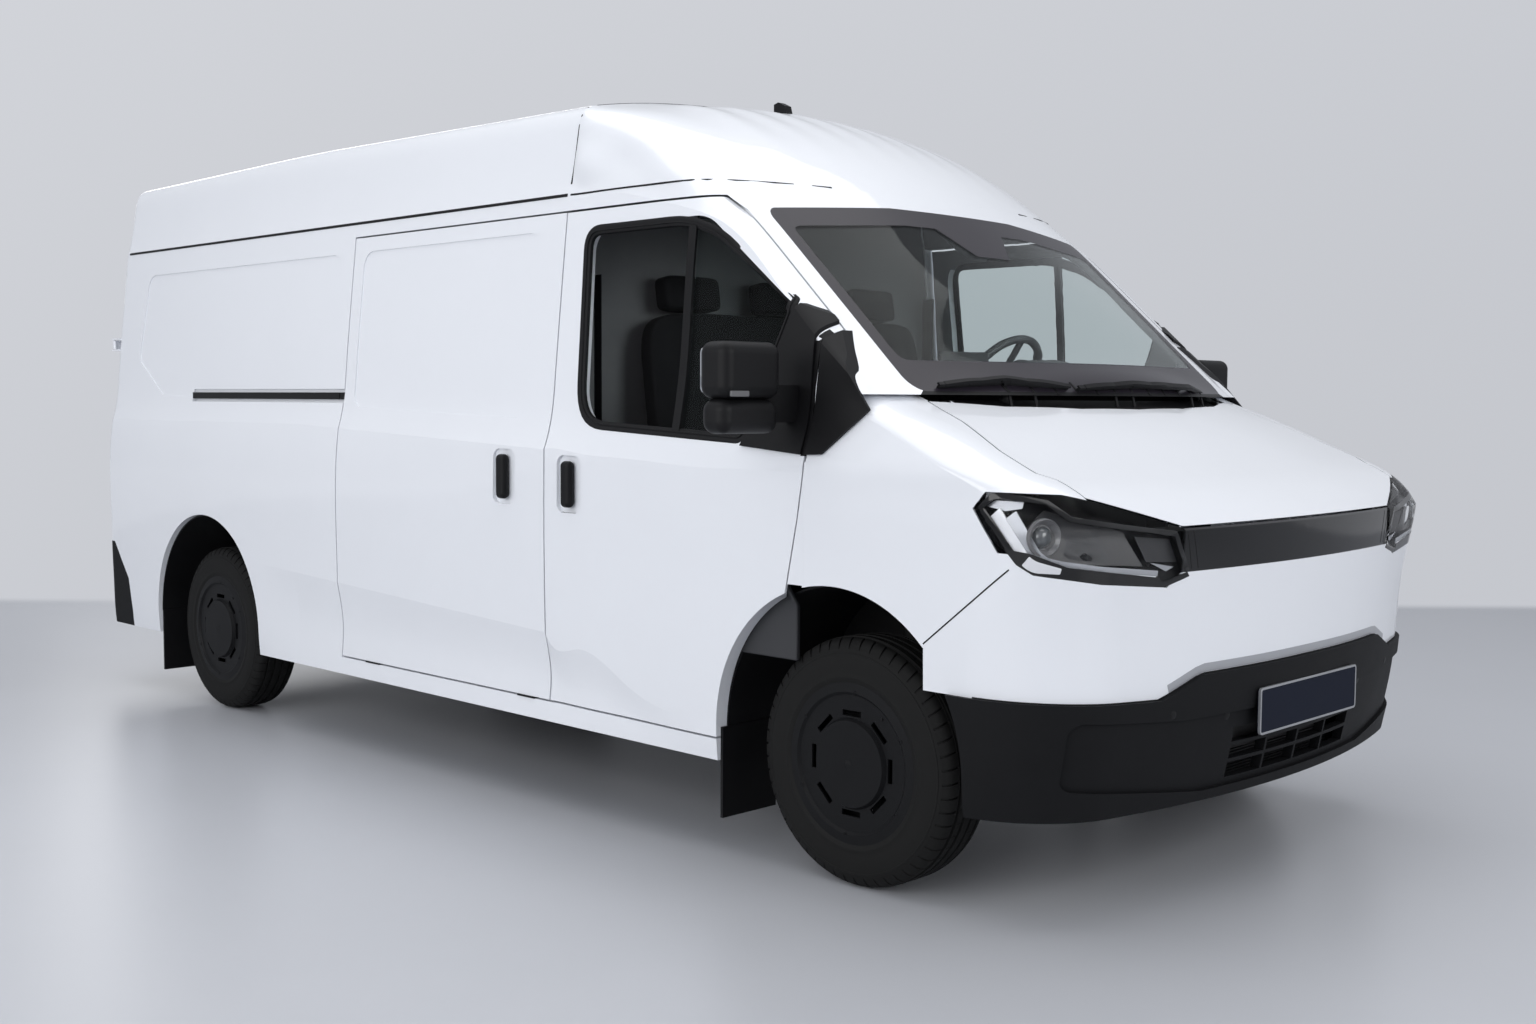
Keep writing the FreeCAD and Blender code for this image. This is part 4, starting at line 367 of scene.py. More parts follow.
for name in ("cab_frame", "roof_front", "front_door_right", "front_door_left"):
    mesh = NODES[name].data
    mesh.materials.append(LINING)
    way = (CAB_MIDDLE - face_rows(mesh, "center")) * (0.15, 1.0, 1.0)
    inside = (way * face_rows(mesh, "normal")).sum(1) > 0.35 * np.linalg.norm(way, axis=1)
    mesh.polygons.foreach_set("material_index", inside.astype(np.int32))
mesh = NODES["cab_frame"].data
mesh.materials.append(BLACK)
slots = np.empty(len(mesh.polygons), np.int32)
mesh.polygons.foreach_get("material_index", slots)
x, y, z = face_rows(mesh, "center").T
foot = (x > FOOT_X) & (np.abs(y) < FOOT_HALF) & (z < FOOT_TOP)
mesh.polygons.foreach_set("material_index", np.where(foot, 2, slots).astype(np.int32))
print("dressed:", sum(len(names) for names in FINISH_OF.values()), "of", len(NODES))

# %% [markdown]
# The camera stands at the front right, at the height of a person's chest, and looks along the van. Its
# angles and focal length were fitted to the photograph.

# %% Camera
YAW, PITCH, ROLL = (math.radians(angle) for angle in (44.4416, 4.0047, 0.2723))
STAND = Vector((4.6966, -4.1916, 1.3225))


def add_object(name, data):
    thing = bpy.data.objects.new(name, data)
    bpy.context.scene.collection.objects.link(thing)
    return thing


ahead = Vector((-math.sin(YAW) * math.cos(PITCH), math.cos(YAW) * math.cos(PITCH), -math.sin(PITCH)))
right = ahead.cross(Vector((0, 0, 1))).normalized()
above = right.cross(ahead)
turned_right = right * math.cos(ROLL) + above * math.sin(ROLL)
turned_above = above * math.cos(ROLL) - right * math.sin(ROLL)
camera = add_object("photo_camera", bpy.data.cameras.new("photo_camera"))
camera.matrix_world = Matrix((turned_right, turned_above, -ahead)).transposed().to_4x4()
camera.location = STAND
camera.data.sensor_width = 36.0
camera.data.lens = 37.75
bpy.context.scene.camera = camera
bpy.context.scene.view_settings.view_transform = "Standard"
print("camera at", tuple(camera.location), "lens", camera.data.lens)

# %% [markdown]
# Tools for the fine pieces: search trees over the solids, rays that find a surface from the side, the front,
# above or along a line of sight of the camera, and a pile that collects swept and turned shapes.

# %% Surface tools
FOCAL = 1610.57
FRAME_MIDDLE = (768, 512)
BESIDE, BEYOND = 3.0, 5.0
bpy.context.view_layer.update()


def tree_of(*names):
    vertices, faces = [], []
    for name in names:
        start = len(vertices)
        mesh = NODES[name].data
        vertices += [NODES[name].matrix_world @ vertex.co for vertex in mesh.vertices]
        faces += [[start + i for i in polygon.vertices] for polygon in mesh.polygons]
    return BVHTree.FromPolygons(vertices, faces)


def cast(tree, start, direction):
    """Point and outward normal where a ray meets the surface, or None."""
    direction = Vector(direction).normalized()
    point, normal, _, _ = tree.ray_cast(Vector(start), direction)
    if point is None:
        return None
    return point, -normal if normal.dot(direction) > 0 else normal


def from_side(tree, x, z):
    return cast(tree, (x, -BESIDE, z), (0, 1, 0))


def from_front(tree, y, z):
    return cast(tree, (BEYOND, y, z), (-1, 0, 0))


def from_above(tree, x, y):
    return cast(tree, (x, y, BEYOND), (0, 0, -1))


def seen(tree, u, v):
    """Point of a surface behind one place of the photograph's frame."""
    across, down = u - FRAME_MIDDLE[0], v - FRAME_MIDDLE[1]
    return cast(tree, camera.location, ahead * FOCAL + turned_right * across - turned_above * down)


def line_of(finder, tree, points, step):
    """Points and normals found on a surface every step of a polyline."""
    found = []
    for a, b in zip(points, points[1:]):
        count = max(1, round(math.dist(a, b) / step))
        found += [finder(tree, *(p + (q - p) * i / count for p, q in zip(a, b))) for i in range(count)]
    found.append(finder(tree, *points[-1]))
    found = [hit for hit in found if hit]
    soft = []
    for i, (point, normal) in enumerate(found):
        near = found[max(0, i - 2):i + 3]
        soft.append((point, sum((n for _, n in near), Vector()).normalized()))
    return soft


def strip(width, lift, sink=0.004):
    """Cross section of a flat band with soft shoulders: places across and heights."""
    half = width / 2
    return [(-half, -sink), (-half, lift * 0.6), (-half * 0.7, lift), (half * 0.7, lift), (half, lift * 0.6),
            (half, -sink)]


MADE = []


class Pile:
    """Collects closed shapes that become one piece; each method adds one shape and returns the pile."""

    def __init__(self):
        self.vertices = []
        self.faces = []

    def add(self, vertices, faces):
        start = len(self.vertices)
        self.vertices += [Vector(vertex) for vertex in vertices]
        self.faces += [[start + i for i in face] for face in faces]
        return self

    def skin(self, rings, closed=False):
        """Surface over rings of equal length, with caps at both ends unless the rings close on themselves."""
        size, count = len(rings[0]), len(rings)
        faces = []
        for i in range(count if closed else count - 1):
            j = (i + 1) % count
            for k in range(size):
                n = (k + 1) % size
                faces.append([i * size + k, i * size + n, j * size + n, j * size + k])
        if not closed:
            faces.append(list(range(size))[::-1])
            faces.append([(count - 1) * size + k for k in range(size)])
        return self.add([vertex for ring in rings for vertex in ring], faces)

    def sweep(self, path, profile, closed=False, width_at=None):
        """Cross section of (across, height) places, carried along a path of points and normals."""
        count = len(path)
        if count < 2:
            return self
        rings = []
        for i, (point, normal) in enumerate(path):
            before = path[(i - 1) % count][0] if closed or i else point
            after = path[(i + 1) % count][0] if closed or i < count - 1 else point
            across = (after - before).cross(normal).normalized()
            width = width_at(i / (count - 1)) if width_at else 1.0
            rings.append([point + across * a * width + normal * h for a, h in profile])
        return self.skin(rings, closed)

    def lathe(self, centre, axis, profile, steps=32):
        """Turned shape: the profile's (radius, height) places go round the axis."""
        axis = Vector(axis).normalized()
        first = axis.orthogonal().normalized()
        second = axis.cross(first)
        rings = []
        for i in range(steps):
            angle = 2 * math.pi * i / steps
            spoke = first * math.cos(angle) + second * math.sin(angle)
            rings.append([Vector(centre) + spoke * r + axis * a for r, a in profile])
        return self.skin(rings, closed=True)

    def plate(self, outline, normal, thick):
        """Flat-edged plate over an outline of points, thick along the normal."""
        back = [Vector(p) - Vector(normal) * thick for p in outline]
        return self.skin([[Vector(p) for p in outline], back])

    def box(self, low, high):
        (a, b, c), (d, e, f) = low, high
        return self.skin([[(a, b, c), (d, b, c), (d, e, c), (a, e, c)],
                          [(a, b, f), (d, b, f), (d, e, f), (a, e, f)]])

    def mirror(self):
        """Adds the same shapes on the other side of the van."""
        flipped = [(vertex.x, -vertex.y, vertex.z) for vertex in self.vertices]
        return self.add(flipped, [face[::-1] for face in self.faces])

    def make(self, name, material, body="body", bevel=0.0, angle=35):
        """Turns the shapes into one smooth-shaded piece that rides on a body."""
        mesh = bpy.data.meshes.new(name)
        mesh.from_pydata([tuple(vertex) for vertex in self.vertices], [], self.faces)
        work = bmesh.new()
        work.from_mesh(mesh)
        bmesh.ops.remove_doubles(work, verts=work.verts, dist=1e-6)
        bmesh.ops.dissolve_degenerate(work, edges=work.edges, dist=1e-7)
        bmesh.ops.recalc_face_normals(work, faces=work.faces)
        work.to_mesh(mesh)
        work.free()
        mesh.materials.append(material)
        mesh.shade_smooth()
        mesh.set_sharp_from_angle(angle=math.radians(angle))
        thing = add_object(name, mesh)
        if bevel:
            modifier = thing.modifiers.new("soft_edges", "BEVEL")
            modifier.width = bevel
            modifier.segments = 2
            modifier.limit_method = "ANGLE"
        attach(thing, body)
        MADE.append(thing)
        return thing


def rect(low_a, low_b, high_a, high_b):
    """The four corners of an upright rectangle, in order."""
    return [(low_a, low_b), (high_a, low_b), (high_a, high_b), (low_a, high_b)]


def rounded(points, corner, steps=5):
    """Outline with its corners rounded: each point is (a, b) and may bring its own corner."""
    result = []
    count = len(points)
    for i, point in enumerate(points):
        a, b = Vector(points[i - 1][:2]), Vector(points[(i + 1) % count][:2])
        here = Vector(point[:2])
        radius = point[2] if len(point) > 2 else corner
        to_a, to_b = (a - here), (b - here)
        reach = min(radius, to_a.length * 0.45, to_b.length * 0.45)
        start, end = here + to_a.normalized() * reach, here + to_b.normalized() * reach
        for k in range(steps + 1):
            t = k / steps
            result.append(tuple(start * (1 - t) ** 2 + here * 2 * t * (1 - t) + end * t ** 2))
    return result


SIDE_SKIN = tree_of("roof_rear", "roof_front", "cab_frame", "side_panel_right", "sliding_door",
                    "front_door_right")
FRONT_SKIN = tree_of("front_fascia", "fenders", "front_bumper", "headlamps", "lamp_bar", "bonnet")
LAMP_SKIN = tree_of("headlamps")
GLASS_SKIN = tree_of("windscreen")
COWL_SKIN = tree_of("cowl", "windscreen", "cab_frame", "bonnet")
print("search trees ready")

# %% [markdown]
# Dark lines where fixed panels meet: the gutter over the sides, the joint between the two roofs, the edge of
# the fascia and the top of the bumper. Above the bumper runs a grey band of painted shade, where the fascia's
# edge turns under.

# %% Seams and gutters
GUTTER_Z, ROOF_JOINT_X, SPINE_Z = 1.971, 0.592, 1.6
seams = Pile()
for x_from, x_to, width, lift in ((-2.66, 0.585, 0.010, 0.0025), (0.60, 1.33, 0.006, 0.0018)):
    gutter = line_of(from_side, SIDE_SKIN, [(x_from, GUTTER_Z), (x_to, GUTTER_Z)], 0.05)
    seams.sweep(gutter, strip(width, lift))
seams.sweep(line_of(from_side, FRONT_SKIN, [(2.1467, 0.69), (2.1467, 0.7065), (2.407, 0.915)], 0.02),
            strip(0.004, 0.0006, 0.003))
seams.mirror()
roof_line = []
for i in range(91):
    angle = math.radians(i * 2)
    spoke = Vector((0, math.cos(angle), math.sin(angle)))
    hit = cast(SIDE_SKIN, Vector((ROOF_JOINT_X, 0, SPINE_Z)) + spoke * BESIDE, -spoke)
    if hit and hit[0].z > GUTTER_Z + 0.005 and hit[0].y < 0.0:
        roof_line.append(hit)
roof_joint = Pile().sweep(roof_line, strip(0.006, 0.0008)).mirror()
seams.add(roof_joint.vertices, roof_joint.faces)
seams.make("panel_seams", SEAL)

BUMPER_SHARES = [(-1.2, 0.252), (-0.640, 0.2435), (-0.495, 0.2660), (0, 0.2670), (0.495, 0.2660),
                 (0.640, 0.2435), (1.2, 0.252)]
BUMPER_TOP = [(HALF_WIDTH * a, ROOF_Z * b) for a, b in BUMPER_SHARES]
NOSE_X, NOSE_BACK, NOSE_TURN = 1.5, 2.262, 82.0


def round_nose(table, rise, step=1.5):
    """Line on the nose that follows a table of heights over the side place."""
    line = []
    angle = -NOSE_TURN
    while angle <= NOSE_TURN:
        turn = math.radians(angle)
        spoke = Vector((math.cos(turn), math.sin(turn), 0))
        y = math.sin(turn)
        for _ in range(4):
            hit = cast(FRONT_SKIN, Vector((NOSE_X, 0, between(table, y) + rise)) + spoke * BESIDE, -spoke)
            if hit:
                y = hit[0].y
        if hit and hit[0].x > NOSE_BACK:
            line.append(hit)
        angle += step
    return line


Pile().sweep(round_nose(BUMPER_TOP, 0.0005), strip(0.006, 0.0012)).make("bumper_seam", SEAL)
# A grey band of painted shade along the fascia's turned-under edge above the bumper.
shaded_lip_line = [hit for hit in round_nose(BUMPER_TOP, 0.0155) if abs(hit[0].y) < 0.63]
Pile().sweep(shaded_lip_line, strip(0.022, 0.0010)).make("fascia_lip_painted_shade", FASCIA_SHADE_PAINT)
print("seams made")

# %% [markdown]
# The fender closes up to the door's slanted front edge with a thin flange, which leaves the seam as one fine
# line. Above it the door's edge is black, like the mirror's foot that it ends in.

# %% Door edges
DOOR_SKIN, WING_SKIN = tree_of("front_door_right"), tree_of("fenders")
OUTER_Y, DOOR_START, WING_START, STRIDE = -0.90, 1.78, 1.62, 0.005
FLANGE_THICK, FLANGE_LOW, FLANGE_PITCH = 0.0018, 0.803, 0.016
NARROWEST, WIDEST = 0.007, 0.060
EDGE_LOW, EDGE_INSET = 1.160, 0.0050


def on_outside(tree, x, z):
    """Does the panel's outer side reach this place?"""
    hit = from_side(tree, x, z)
    return bool(hit) and hit[0].y < OUTER_Y


def last_x(tree, z, start, step):
    """Place along the van where a panel's side ends, found from a place off it in steps towards it."""
    outside = start
    while abs(outside - start) < 0.5 and not on_outside(tree, outside + step, z):
        outside += step
    inside = outside + step
    for _ in range(8):
        middle = (inside + outside) / 2
        if on_outside(tree, middle, z):
            inside = middle
        else:
            outside = middle
    return inside


def door_end(z):
    return last_x(DOOR_SKIN, z, DOOR_START, -STRIDE)


flange = []
for k in range(23):
    z = FLANGE_LOW + FLANGE_PITCH * k
    door_x, wing_x = door_end(z), last_x(WING_SKIN, z, WING_START, STRIDE)
    on_door, on_wing = from_side(DOOR_SKIN, door_x - 0.004, z), from_side(WING_SKIN, wing_x + 0.006, z)
    if NARROWEST < wing_x - door_x < WIDEST and on_door and on_wing:
        rear, front = on_door[0].y + 0.0006, on_wing[0].y - 0.0003
        rear_x, front_x = door_x + 0.0045, wing_x + 0.006
        flange.append([(rear_x, rear, z), (front_x, front, z), (front_x, front + FLANGE_THICK, z),
                       (rear_x, rear + FLANGE_THICK, z)])
print("flange rows", len(flange), "widest", round(max(row[1][0] - row[0][0] for row in flange), 4))
Pile().skin(flange).mirror().make("fender_flanges", PAINT)
edge_heights = [EDGE_LOW + 0.01 * k for k in range(37)]
edge_places = [(door_end(z), z) for z in edge_heights]
edge_line = []
for (ax, az), (bx, bz), (cx, cz) in zip(edge_places, edge_places[1:], edge_places[2:]):
    along_x, along_z = cx - ax, cz - az
    size = math.hypot(along_x, along_z)
    hit = from_side(DOOR_SKIN, bx - EDGE_INSET * along_z / size, bz + EDGE_INSET * along_x / size)
    if hit:
        edge_line.append(hit)
for side, body in (("right", "front_door_right"), ("left", "front_door_left")):
    pile = Pile().sweep(edge_line, strip(0.0180, 0.0010, 0.003))
    if side == "left":
        pile.vertices = [Vector((v[0], -v[1], v[2])) for v in pile.vertices]
        pile.faces = [tuple(reversed(face)) for face in pile.faces]
    pile.make("door_edge_" + side, BLACK, body)
print("door edge places", [(round(x, 3), round(z, 2)) for x, z in edge_places[::6]])

# %% [markdown]
# Each headlamp is a clear cover over a smoked chamber. It has a black rim, an L-shaped silver light guide
# along its outer and lower edges, a round projector and an inner reflector. Outlines are places in the
# photograph's frame, found on the lamp's surface, and the other lamp mirrors them.

# %% Headlamps
LAMP_EDGE = [(980.5, 507.0), (992.0, 496.5), (1000.0, 495.5), (1047.0, 502.5), (1071.0, 519.5),
             (1118.0, 526.5), (1176.0, 533.5), (1186.0, 565.0), (1188.0, 574.0), (1164.0, 584.5),
             (1102.0, 582.0), (1034.0, 572.8), (1018.0, 563.0)]
rim_path = line_of(seen, FRONT_SKIN, LAMP_EDGE + LAMP_EDGE[:1], 5.0)[:-1]
Pile().sweep(rim_path, strip(0.015, 0.0006, 0.003), closed=True).mirror().make("headlamp_rims", GLOSS)
middle = sum((point for point, _ in rim_path), Vector()) / len(rim_path)
inward = -sum((normal for _, normal in rim_path), Vector()).normalized()
bowl = Pile()
bowl.skin([[p - n * 0.004 for p, n in rim_path], [p - n * 0.007 for p, n in rim_path],
           [middle + (p - middle) * 0.97 + inward * 0.046 for p, n in rim_path],
           [middle + (p - middle) * 0.97 + inward * 0.052 for p, n in rim_path]])
bowl.faces = bowl.faces[:-2] + [bowl.faces[-1]]
bowl.mirror().make("headlamp_bowls", LAMP_DARK)


def on_lamp(u, v):
    """Is the lamp's own cover seen at this place of the frame?"""
    lamp_hit, hit = seen(LAMP_SKIN, u, v), seen(FRONT_SKIN, u, v)
    return lamp_hit is not None and (lamp_hit[0] - hit[0]).length < 0.002


CORNER_LOW = [(1004.0, 549.0), (1015.5, 564.6), (1032.0, 575.0), (1102.0, 584.5), (1163.0, 587.0)]
CORNER_TOP = [(1004.0, 549.0), (1030.0, 554.0), (1068.0, 568.0), (1102.0, 572.0), (1163.0, 578.0)]
slices = []
for u in np.arange(CORNER_LOW[0][0], CORNER_LOW[-1][0], 3.0):
    hits = [seen(FRONT_SKIN, u, v) for v in np.linspace(between(CORNER_TOP, u), between(CORNER_LOW, u), 5)]
    slices.append([p + n * 0.0009 for p, n in hits] + [p - n * 0.001 for p, n in reversed(hits)])
Pile().skin(slices).mirror().make("headlamp_corners", GLOSS)
GUIDE_LINE = [(995.6, 512.2), (1025.5, 561.5), (1033.9, 567.2), (1072.1, 573.4), (1154.8, 578.8)]
GLOW_LINE = [(1010.9, 515.2), (1035.5, 555.5), (1045.0, 562.8), (1102.8, 570.2), (1157.0, 573.5)]


def eased(before, here, after):
    """A place of a path drawn towards its neighbours, except across a jump from one surface to another."""
    point = here[0]
    if (before[0] - after[0]).length < 0.03:
        point = (before[0] + here[0] * 2 + after[0]) / 4
    return point, (before[1] + here[1] + after[1]).normalized()


def guide(name, line, width, widths, material):
    """Band along a line of the frame: behind the cover where it reaches, else flush on its dark corner."""
    places = []
    for (a, b), (c, d) in zip(line, line[1:]):
        count = max(1, round(math.dist((a, b), (c, d)) / 3.0))
        places += [(a + (c - a) * i / count, b + (d - b) * i / count) for i in range(count)]
    path = []
    for u, v in places + [line[-1]]:
        hit = seen(FRONT_SKIN, u, v)
        way = (hit[0] - camera.location).normalized()
        path.append((hit[0] + way * 0.010 if on_lamp(u, v) else hit[0] + hit[1] * 0.0014, hit[1]))
    for _ in range(3):
        path = [path[0]] + [eased(*three) for three in zip(path, path[1:], path[2:])] + [path[-1]]
    pile = Pile().sweep(path, strip(width, 0.0012), width_at=lambda t: float(np.interp(t, *widths)))
    pile.mirror().make(name, material)


guide("guide_trims", GLOW_LINE, 0.036, ([0, 0.32, 0.45, 1], [0.9, 0.75, 0.45, 0.40]), SILVER)
guide("light_guides", GUIDE_LINE, 0.034, ([0, 0.36, 0.5, 1], [1.0, 0.85, 0.42, 0.40]), GLOW)


def lamp_plates(name, material, *plates):
    """Thin plates behind the lamp's cover: places of the photograph's frame, and a depth for each."""
    pile = Pile()
    for places, depth in plates:
        hits = line_of(seen, LAMP_SKIN, places + places[:1], 4.0)[:-1]
        normal = sum((n for _, n in hits), Vector()).normalized()
        pile.plate([p - normal * depth for p, _ in hits], normal, 0.002)
    pile.mirror().make(name, material)


lamp_plates("lamp_reflectors", SILVER,
            ([(985.0, 505.0), (993.3, 499.5), (1021.6, 501.3), (1020.0, 508.0), (1003.3, 510.2)], 0.014),
            ([(1154.8, 563.8), (1178.5, 567.7), (1170.9, 572.2)], 0.020))
lamp_plates("lamp_chambers", LAMP_GREY,
            ([(1141.0, 538.0), (1175.5, 540.0), (1183.0, 563.0), (1152.5, 563.0)], 0.026),
            ([(1050.0, 510.0), (1128.0, 533.0), (1147.0, 565.0), (1060.0, 563.0), (1030.0, 530.0)], 0.036))
EYE_PLACE, EYE_DEPTH = (1052.0, 539.0), 0.040
RING_PROFILE = [(0.046, 0.0), (0.046, 0.010), (0.043, 0.012), (0.041, 0.010), (0.030, -0.004), (0.0, -0.004),
                (0.0, -0.008), (0.040, -0.006)]
LENS_PROFILE = [(0.0, 0.016), (0.010, 0.015), (0.019, 0.010), (0.025, 0.002), (0.026, -0.003), (0.0, -0.003)]
eye_axis = Vector((0.93, -0.36, 0.0)).normalized()
eye_at = seen(LAMP_SKIN, *EYE_PLACE)[0] - eye_axis * EYE_DEPTH
Pile().lathe(eye_at, eye_axis, RING_PROFILE, 40).mirror().make("projector_rings", TRIM_GREY)
Pile().lathe(eye_at, eye_axis, LENS_PROFILE, 32).mirror().make("projector_lenses", EYE)
print("headlamps made")

# %% [markdown]
# The front carries a blank dark plate with a silver edge, a radiator behind the grille, parking sensors and
# a gloss bar with joints near the lamps. The place of the badge stays bare.

# %% Front plate and bar joints
PLATE_LOW, PLATE_TOP, PLATE_HALF = 0.446, 0.566, 0.282
FIN_PITCH = 0.0082
plate_hits = [from_front(FRONT_SKIN, y, z) for y in (-0.27, 0.0, 0.27) for z in (0.46, 0.50, 0.55)]
plate_x = min(max(hit[0].x for hit in plate_hits if hit) + 0.003, CAD_HIGH[0] - 0.0006)
corners = rounded(rect(-PLATE_HALF, PLATE_LOW, PLATE_HALF, PLATE_TOP), 0.010)
Pile().plate([(plate_x - 0.0012, y, z) for y, z in corners], (1, 0, 0), 0.010).make("front_plate", PLATE)
edge = [(Vector((plate_x - 0.0015, y, z)), Vector((1, 0, 0))) for y, z in corners]
Pile().sweep(edge, strip(0.006, 0.0014, 0.006), closed=True).make("front_plate_edge", TRIM_SILVER)
radiator = Pile().box((2.535, -0.44, 0.27), (2.560, 0.44, 0.56))
for k in range(34):
    radiator.box((2.560, -0.435, 0.276 + FIN_PITCH * k), (2.567, 0.435, 0.2785 + FIN_PITCH * k))
radiator.make("radiator", BLACK)
joints = Pile()
for y_top, y_low in ((0.560, 0.535), (0.585, 0.562)):
    line = line_of(from_front, FRONT_SKIN, [(-y_top, 0.997), (-y_low, 0.902)], 0.01)
    joints.sweep(line, strip(0.003, 0.0004, 0.002))
joints.mirror().make("bar_joints", SEAL)
SENSOR_PROFILE = [(0.0, 0.0052), (0.009, 0.0050), (0.0115, 0.0040), (0.013, 0.0), (0.0, 0.0)]
sensors = Pile()
for y, z in ((-0.62, 0.535), (-0.385, 0.505)):
    point, normal = from_front(FRONT_SKIN, y, z)
    sensors.lathe(point - normal * 0.004, normal, SENSOR_PROFILE, 24)
sensors.mirror().make("parking_sensors", BLACK)
print("plate front at", round(plate_x, 4))

# %% [markdown]
# Two wipers rest at the foot of the windscreen. Each has a rubber edge, a bowed bridge, and an arm from the
# cowl. Ribs and a dark camera housing behind the glass finish the screen.

# %% Wipers, cowl and camera housing
def bar(half, low, high, shoulder=0.002):
    """Cross section of a bar: half width and heights, a little narrower at the top."""
    return [(-half, low), (-half + shoulder, high), (half - shoulder, high), (half, low)]


def wiper(name, ends, arm_points):
    """Blade between places of the photograph's frame, with the arm's places down to its foot."""
    path = line_of(seen, GLASS_SKIN, ends, 6.0)
    pile = Pile()
    pile.sweep([(p + n * 0.001, n) for p, n in path], bar(0.004, 0, 0.010, 0.0025))
    pile.sweep([(p + n * 0.010, n) for p, n in path], bar(0.008, 0, 0.006))
    count = len(path) - 1
    for low, high, lift in ((0.06, 0.46, 0.006), (0.54, 0.94, 0.006), (0.22, 0.78, 0.009)):
        part = path[round(low * count):round(high * count) + 1]
        last = len(part) - 1
        arc = [(p + n * (0.013 + lift * math.sin(math.pi * i / last)), n) for i, (p, n) in enumerate(part)]
        pile.sweep(arc, bar(0.009, -0.003, 0.004))
    p, n = path[count // 2]
    pile.lathe(p + n * 0.015, (0, 1, 0), [(0.0, -0.014), (0.008, -0.014), (0.008, 0.014), (0.0, 0.014)], 12)
    feet = []
    for u, v in arm_points:
        below = (seen(COWL_SKIN, u, v + 1.5 * k) for k in range(12))
        feet.append(next(hit for hit in below if hit))
    route = [(p + n * 0.018, n)] + [(q + m * (0.020 - 0.004 * i), m) for i, (q, m) in enumerate(feet)]
    smooth = []
    for (a, na), (b, nb) in zip(route, route[1:]):
        smooth += [(a.lerp(b, k / 6), na.lerp(nb, k / 6).normalized()) for k in range(6)]
    pile.sweep(smooth + [route[-1]], bar(0.010, -0.005, 0.006))
    q, m = feet[-1]
    pile.lathe(q - m * 0.004, m, [(0.0, 0.026), (0.010, 0.025), (0.014, 0.020), (0.016, 0.0), (0.0, 0.0)], 20)
    pile.make(name, BLACK)


wiper("wiper_right", [(937.0, 388.0), (1002.0, 384.5), (1067.0, 389.0)], [(1004.0, 399.5)])
wiper("wiper_left", [(1076.0, 390.5), (1128.0, 388.0), (1180.0, 389.5)], [(1185.0, 392.0), (1226.0, 402.5)])
ribs = Pile()
for k in range(12):
    y = -0.52 + 0.095 * k
    ends = [(1.965 + 0.10 * (1 - abs(y) / 0.9), y), (2.030 + 0.055 * (1 - abs(y)), y)]
    path = line_of(from_above, COWL_SKIN, ends, 0.012)
    ribs.sweep([hit for hit in path if hit[0].z > 1.2], strip(0.010, 0.0022))
ribs.make("cowl_ribs", BLACK)
HOUSING = [(-0.120, 1.916), (0.120, 1.916), (0.075, 1.800), (-0.075, 1.800)]
hits = [from_front(GLASS_SKIN, y, z) for y, z in rounded(HOUSING, 0.03)]
hits = [hit for hit in hits if hit]
housing = Pile().skin([[p - n * 0.010 for p, n in hits], [p - n * 0.018 for p, n in hits],
                       [p - n * 0.060 + Vector((0, -p.y * 0.25, 0.010)) for p, n in hits]])
housing.make("camera_housing", CAB, bevel=0.003)
print("wipers made")

# %% [markdown]
# A broad rubber seal frames each door window, with a thin outer lip as a second line.

# %% Door window seals
WINDOW_SHARES = [(-0.325, 0.787, 0.072), (-0.168, 0.787, 0.165), (-0.0625, 0.668, 0.031),
                 (-0.105, 0.509, 0.031), (-0.318, 0.524, 0.134)]
SEAL_PROFILE = [(-0.024, -0.014), (-0.022, -0.004), (-0.004, 0.0015), (0.004, 0.0015), (0.006, 0.0),
                (0.006, -0.014)]
LIP_PROFILE = [(-0.015, -0.004), (-0.0135, 0.0030), (-0.010, 0.0030), (-0.0085, -0.004)]
loop = rounded([(FRONT_X + WHEELBASE * a, ROOF_Z * b, corner) for a, b, corner in WINDOW_SHARES], 0.05, 8)
centre = (sum(a for a, _ in loop) / len(loop), sum(b for _, b in loop) / len(loop))


def round_window(outline, outside):
    """Path on the door skin just outside the window's edge, brought back to the edge."""
    path = []
    count = len(outline)
    for i, (a, b) in enumerate(outline):
        before, after = outline[i - 1], outline[(i + 1) % count]
        along = Vector((after[0] - before[0], after[1] - before[1])).normalized()
        out_way = Vector((along.y, -along.x))
        if out_way.dot(Vector((a - centre[0], b - centre[1]))) < 0:
            out_way = -out_way
        hit = from_side(DOOR_SKIN, a + out_way.x * outside, b + out_way.y * outside)
        if hit and hit[0].y < -0.80:
            step = Vector((out_way.x, 0, out_way.y))
            step = (step - hit[1] * step.dot(hit[1])).normalized()
            path.append((hit[0] - step * outside, hit[1], step))
    return path


window_path = round_window(loop, 0.016)
rings, lips = ([[point + step * a + normal * h for a, h in profile] for point, normal, step in window_path]
               for profile in (SEAL_PROFILE, LIP_PROFILE))
for side, name in ((-1, "right"), (1, "left")):
    seal = Pile().skin(rings, closed=True)
    seal.skin(lips, closed=True)
    seal.vertices = [Vector((v.x, v.y if side < 0 else -v.y, v.z)) for v in seal.vertices]
    seal.make("window_seal_" + name, SEAL, "front_door_" + name, angle=50)
print("window seals:", len(window_path), "stations")

# %% [markdown]
# Each mirror has a large and a small glass that face rearward, and a grey lamp strip on its outer edge. The
# small mirror housings keep the form of the solids.

